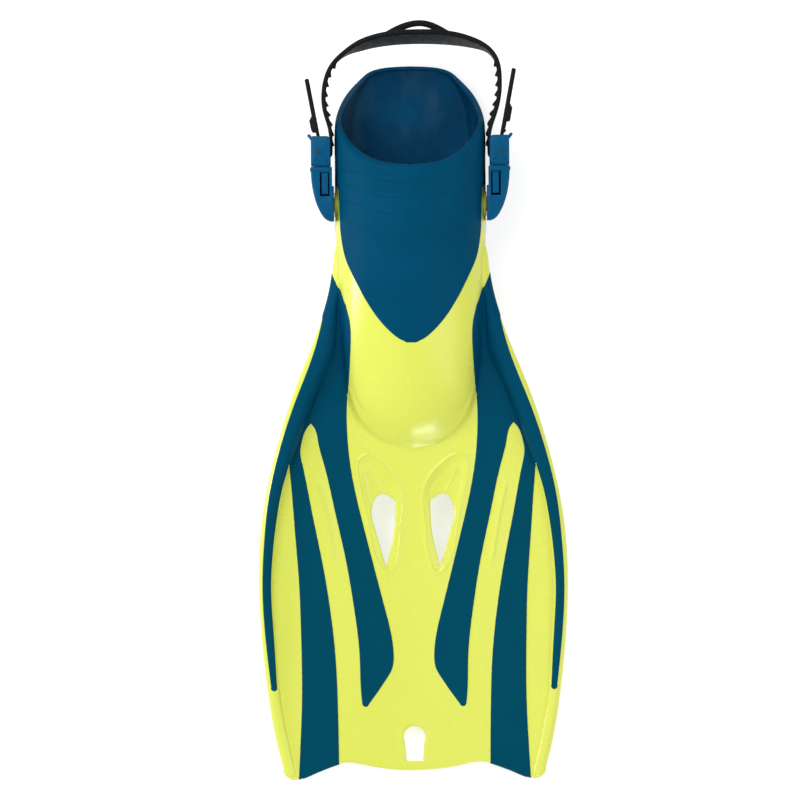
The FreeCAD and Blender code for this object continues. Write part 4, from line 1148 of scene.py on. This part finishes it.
def buckle_frame():
    """Frame of the right-hand buckle: two cheeks, the floor between them and the plug."""
    cheeks = []
    for sign in (1, -1):
        z = sorted(PIVOT_Z + sign * height for height in (CHEEK_GAP, CHEEK_GAP + CHEEK_THICK))
        cheeks.append(slab([(55.6, 165), (69.4, 165), (69.4, 186), (55.6, 186)], *z, 0.9,
                           [0.6, 0.6, 1.6, 3.4]))
        rib = sorted((PIVOT_Z + sign * 13.5, PIVOT_Z + sign * 15.5))
        cheeks.append(slab([(55.9, 166.6), (69.1, 166.6), (69.1, 168.2), (55.9, 168.2)], *rib, 0.3, 0.4))
    floor = box_slab(55.7, 69.3, 165.05, 168.4, PIVOT_Z - 13, PIVOT_Z + 13)
    plug = box_slab(56.7, 67.0, 161.5, 166, PIVOT_Z - 13.2, PIVOT_Z + 13.2)
    return joined(cheeks + [floor, plug])


def softened(node, name, materials, radius):
    """Copy of a CAD node with its sharp edges rounded."""
    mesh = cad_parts[node].data.copy()
    mesh.name = name
    mesh.materials.clear()
    work = bmesh.new()
    work.from_mesh(mesh)
    bmesh.ops.remove_doubles(work, verts=work.verts, dist=0.01 * MM)
    bmesh.ops.dissolve_limit(work, angle_limit=math.radians(FLAT_ANGLE), verts=work.verts,
                             edges=work.edges)
    edges = [edge for edge in work.edges
             if len(edge.link_faces) == 2 and edge.calc_face_angle() > math.radians(SHARP_ANGLE)]
    bmesh.ops.bevel(work, geom=edges, offset=radius * MM, offset_type="OFFSET", segments=2,
                    profile=0.5, affect="EDGES", clamp_overlap=False, loop_slide=True)
    work.to_mesh(mesh)
    work.free()
    return show(mesh, name, materials, 34)


# ---- materials ----------------------------------------------------------------------------------

class Finish:
    """A procedural material and short ways to add its nodes."""

    def __init__(self, name):
        self.material = bpy.data.materials.new(name)
        self.material.use_nodes = True
        self.tree = self.material.node_tree
        self.shader = self.tree.nodes["Principled BSDF"]
        self.place = self.add("ShaderNodeTexCoord").outputs["Object"]

    def add(self, kind, **values):
        """A node, with its inputs set."""
        node = self.tree.nodes.new(kind)
        for key, value in values.items():
            node.inputs[key.replace("_", " ")].default_value = value
        return node

    def link(self, source, target):
        self.tree.links.new(source, target)

    def noise(self, scale, detail=3.0, roughness=0.5, stretch=None):
        """Noise over the object."""
        node = self.add("ShaderNodeTexNoise", Scale=scale, Detail=detail, Roughness=roughness)
        place = self.place
        if stretch:
            shift = self.add("ShaderNodeMapping", Scale=stretch)
            self.link(place, shift.inputs["Vector"])
            place = shift.outputs["Vector"]
        self.link(place, node.inputs["Vector"])
        return node.outputs["Fac"]

    def ramp(self, source, stops):
        """Colour that follows a value through stops."""
        node = self.add("ShaderNodeValToRGB")
        self.link(source, node.inputs["Fac"])
        elements = node.color_ramp.elements
        for index, (place, colour) in enumerate(stops):
            element = elements[index] if index < 2 else elements.new(place)
            element.position = place
            element.color = (*colour, 1) if len(colour) == 3 else colour
        return node.outputs["Color"]

    def span(self, source, low, high, start=0.3, end=0.7):
        """A value's range start to end, spread to low to high."""
        node = self.add("ShaderNodeMapRange", From_Min=start, From_Max=end, To_Min=low, To_Max=high)
        self.link(source, node.inputs["Value"])
        return node.outputs["Result"]

    def mix(self, share, first, second):
        """Mix of two colours."""
        node = self.tree.nodes.new("ShaderNodeMix")
        node.data_type = "RGBA"
        for index, value in ((0, share), (6, first), (7, second)):
            if isinstance(value, bpy.types.NodeSocket):
                self.link(value, node.inputs[index])
            else:
                node.inputs[index].default_value = (*value, 1) if index else value
        return node.outputs[2]

    def bump(self, layers):
        """Bumps from (height, strength, size in mm) layers."""
        normal = None
        for height, strength, size in layers:
            node = self.add("ShaderNodeBump", Strength=strength, Distance=size * MM)
            self.link(height, node.inputs["Height"])
            if normal:
                self.link(normal, node.inputs["Normal"])
            normal = node.outputs["Normal"]
        self.link(normal, self.shader.inputs["Normal"])

    def finish(self, colour, roughness, specular):
        """The material, with its main inputs linked."""
        self.link(colour, self.shader.inputs["Base Color"])
        self.link(roughness, self.shader.inputs["Roughness"])
        self.shader.inputs["Specular IOR Level"].default_value = specular
        return self.material


def hard_plastic(name, base, shade, rough, specular, grain=0.1):
    """Glossy moulded plastic: faint flow marks, fine grain and small handling marks."""
    made = Finish(name)
    flow = made.noise(14, 4, 0.55, (1, 0.35, 1))
    colour = made.ramp(flow, [(0.3, shade), (0.7, base)])
    marks = made.noise(900, 2, 0.6)
    roughness = made.span(made.noise(160, 3, 0.6), rough * 0.8, rough * 1.25)
    made.bump([(made.noise(45, 2), 0.1, 0.2), (marks, grain, 0.04)])
    return made.finish(colour, roughness, specular)


def soft_plastic(name, base, shade, rough, specular, scuff=None, amount=0.0, front=None):
    """Satin soft plastic with a fine grain and rubbed patches, and another tint towards the tip."""
    made = Finish(name)
    colour = made.ramp(made.noise(24, 4, 0.6), [(0.32, shade), (0.68, base)])
    if front:
        parts = made.add("ShaderNodeSeparateXYZ")
        made.link(made.place, parts.inputs["Vector"])
        colour = made.mix(made.span(parts.outputs["Y"], 1, 0, -0.08, 0.06), colour, front)
    if scuff:
        patch = made.noise(22, 3, 0.6, (1, 0.6, 1))
        rubbed = made.span(patch, 0, amount, 0.5, 0.75)
        colour = made.mix(rubbed, colour, scuff)
    roughness = made.span(made.noise(220, 4, 0.65), rough * 0.85, rough * 1.2)
    made.bump([(made.noise(40, 3), 0.1, 0.4), (made.noise(1500, 3, 0.7), 0.16, 0.12)])
    return made.finish(colour, roughness, specular)


def rubber(name):
    """Black rubber with a dusty bloom and a fine grain."""
    made = Finish(name)
    colour = made.ramp(made.noise(60, 5, 0.65), [(0.3, (0.003, 0.0036, 0.004)),
                                                 (0.75, (0.006, 0.0068, 0.0075))])
    roughness = made.span(made.noise(260, 4, 0.65), 0.38, 0.58)
    made.bump([(made.noise(1800, 3, 0.7), 0.2, 0.1), (made.noise(70, 2), 0.12, 0.3)])
    return made.finish(colour, roughness, 0.07)


def metal(name):
    """Drawn steel."""
    made = Finish(name)
    lines = made.noise(700, 4, 0.6, (1, 1, 0.03))
    colour = made.ramp(lines, [(0.25, (0.42, 0.43, 0.44)), (0.75, (0.62, 0.63, 0.64))])
    made.shader.inputs["Metallic"].default_value = 1.0
    made.bump([(lines, 0.1, 0.05)])
    return made.finish(colour, made.span(lines, 0.22, 0.4), 0.5)


def floor_finish():
    """White floor that glows a little."""
    made = Finish("floor")
    colour = made.ramp(made.noise(3, 2), [(0.3, (0.50, 0.50, 0.50)), (0.7, (0.51, 0.51, 0.51))])
    made.shader.inputs["Emission Color"].default_value = (1, 1, 1, 1)
    made.shader.inputs["Emission Strength"].default_value = 0.62
    return made.finish(colour, made.span(made.noise(8, 2), 0.75, 0.85), 0.1)


YELLOW = hard_plastic("hard_yellow", (0.56, 0.595, 0.088), (0.53, 0.575, 0.074), 0.24, 0.30)
TEAL = soft_plastic("soft_teal", (0.0, 0.050, 0.107), (0.0, 0.042, 0.090), 0.46, 0.018,
                    (0.0, 0.062, 0.122), 0.25, (0.0, 0.047, 0.080))
LINING = soft_plastic("soft_teal_lining", (0.0, 0.050, 0.118), (0.0, 0.030, 0.078), 0.6, 0.04,
                      (0.026, 0.074, 0.132), 0.7)
BLUE = hard_plastic("buckle_blue", (0.0, 0.073, 0.168), (0.0, 0.060, 0.140), 0.26, 0.07)
# Finish of the studs, rollers and pins, and also the painted shade of the plate inside each socket.
DARK = hard_plastic("dark_plastic", (0.016, 0.02, 0.026), (0.010, 0.012, 0.016), 0.42, 0.3)
RUBBER = rubber("strap_rubber")
STEEL = metal("steel")


# ---- pieces -------------------------------------------------------------------------------------

blade = piece("blade_and_arms",
              *joined([blade_sheet(), toe_box(), pivot_boss(1), pivot_boss(-1)]),
              [YELLOW], merge=0.0005, flip=True)
settle(blade, "root", "hard_yellow", "blade_frame")

insert = soft_insert()
settle(piece("soft_insert_right", *insert, [TEAL], sharp=50), "root", "soft_teal", "flex_insert_right")
settle(piece("soft_insert_left", *mirrored(*insert), [TEAL], sharp=50), "root", "soft_teal",
       "flex_insert_left")

points, faces, lined = pocket_skin()
pocket = piece("foot_pocket_skin", points, faces, [TEAL, LINING], merge=0.0005, flip=True,
               second=lined)
settle(pocket, "root", "soft_teal", "foot_pocket")

strap = piece("ladder_strap", *joined([heel_strap(), finger_loop()]), [RUBBER], sharp=48,
              merge=0.0005, flip=True)
settle(strap, "strap", "strap_rubber", "heel_strap")

for side, turn in (("left", mirrored), ("right", lambda *body: body)):
    shown = piece("buckle_frame_" + side + "_shown", *turn(*buckle_frame()), [BLUE], sharp=50, flip=True)
    settle(shown, "strap", "buckle_blue", "buckle_frame_" + side)
    for node, body, radius in (("buckle_socket_", "socket_", 0.35), ("ratchet_lever_", "lever_", 0.2),
                               ("release_prong_upper_", "prong_upper_", 0.2),
                               ("release_prong_lower_", "prong_lower_", 0.2)):
        shown = softened(node + side, node + side + "_shown", [BLUE], radius)
        settle(shown, body + side, "buckle_blue", node + side)
    # Dark plate inside the socket under its window: painted shade, standing for the shadow seen through the
    # window.
    web = turn(*box_slab(57, 66.2, 143, 160.8, 49.3, 50.7))
    settle(piece("socket_web_" + side, *web, [DARK], flip=True), "socket_" + side, "dark_plastic")
    for node, material in (("pivot_stud_", DARK), ("strap_roller_", DARK), ("roller_pin_", STEEL),
                           ("lever_pins_", DARK), ("lever_spring_", STEEL)):
        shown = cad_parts[node + side]
        shown.data.materials.clear()
        shown.data.materials.append(material)

# ---- floor, light and camera --------------------------------------------------------------------

scene = bpy.context.scene
scene.view_settings.view_transform = "Standard"
world = bpy.data.worlds.new("studio")
world.use_nodes = True
world.node_tree.nodes["Background"].inputs["Color"].default_value = (0.93, 0.95, 0.96, 1)
world.node_tree.nodes["Background"].inputs["Strength"].default_value = 0.55
scene.world = world

ground = bpy.data.meshes.new("ground")
FLOOR_HALF, FLOOR_Z = 4, -0.0006
ground.from_pydata([(x * FLOOR_HALF, y * FLOOR_HALF, FLOOR_Z)
                    for x, y in ((-1, -1), (1, -1), (1, 1), (-1, 1))], [], [(0, 1, 2, 3)])
ground.materials.append(floor_finish())
ground_object = bpy.data.objects.new("ground", ground)
scene.collection.objects.link(ground_object)


def lamp(name, place, target, power, size, tint=(1, 1, 1)):
    """Rectangular lamp that points at its target."""
    data = bpy.data.lights.new(name, "AREA")
    data.energy, data.color = power, tint
    data.shape, data.size, data.size_y = "RECTANGLE", size[0], size[1]
    made = bpy.data.objects.new(name, data)
    made.location = place
    way = Vector(target) - Vector(place)
    made.rotation_euler = way.to_track_quat("-Z", "Y").to_euler()
    scene.collection.objects.link(made)


lamp("key", (-0.75, 0.75, 1.5), (0, 0, 0), 26, (1.3, 1.3))
lamp("fill", (0.9, -0.3, 1.3), (0, 0, 0), 12, (1.4, 1.4))
lamp("left_strip", (-1.3, -0.1, 0.3), (0, 0, 0.05), 8, (0.14, 0.5))
lamp("front_strip", (0.25, -1.35, 0.2), (0, 0, 0.05), 5, (0.5, 0.05))

# A long lens from far above: the fin is seen almost without perspective.
camera = bpy.data.cameras.new("camera")
camera.lens, camera.sensor_width = 642.9, 36
camera_object = bpy.data.objects.new("camera", camera)
camera_object.location = (-0.0084, 0.00105, 10.05)
camera_object.rotation_euler = (0, 0, -0.0079)
scene.collection.objects.link(camera_object)
scene.camera = camera_object
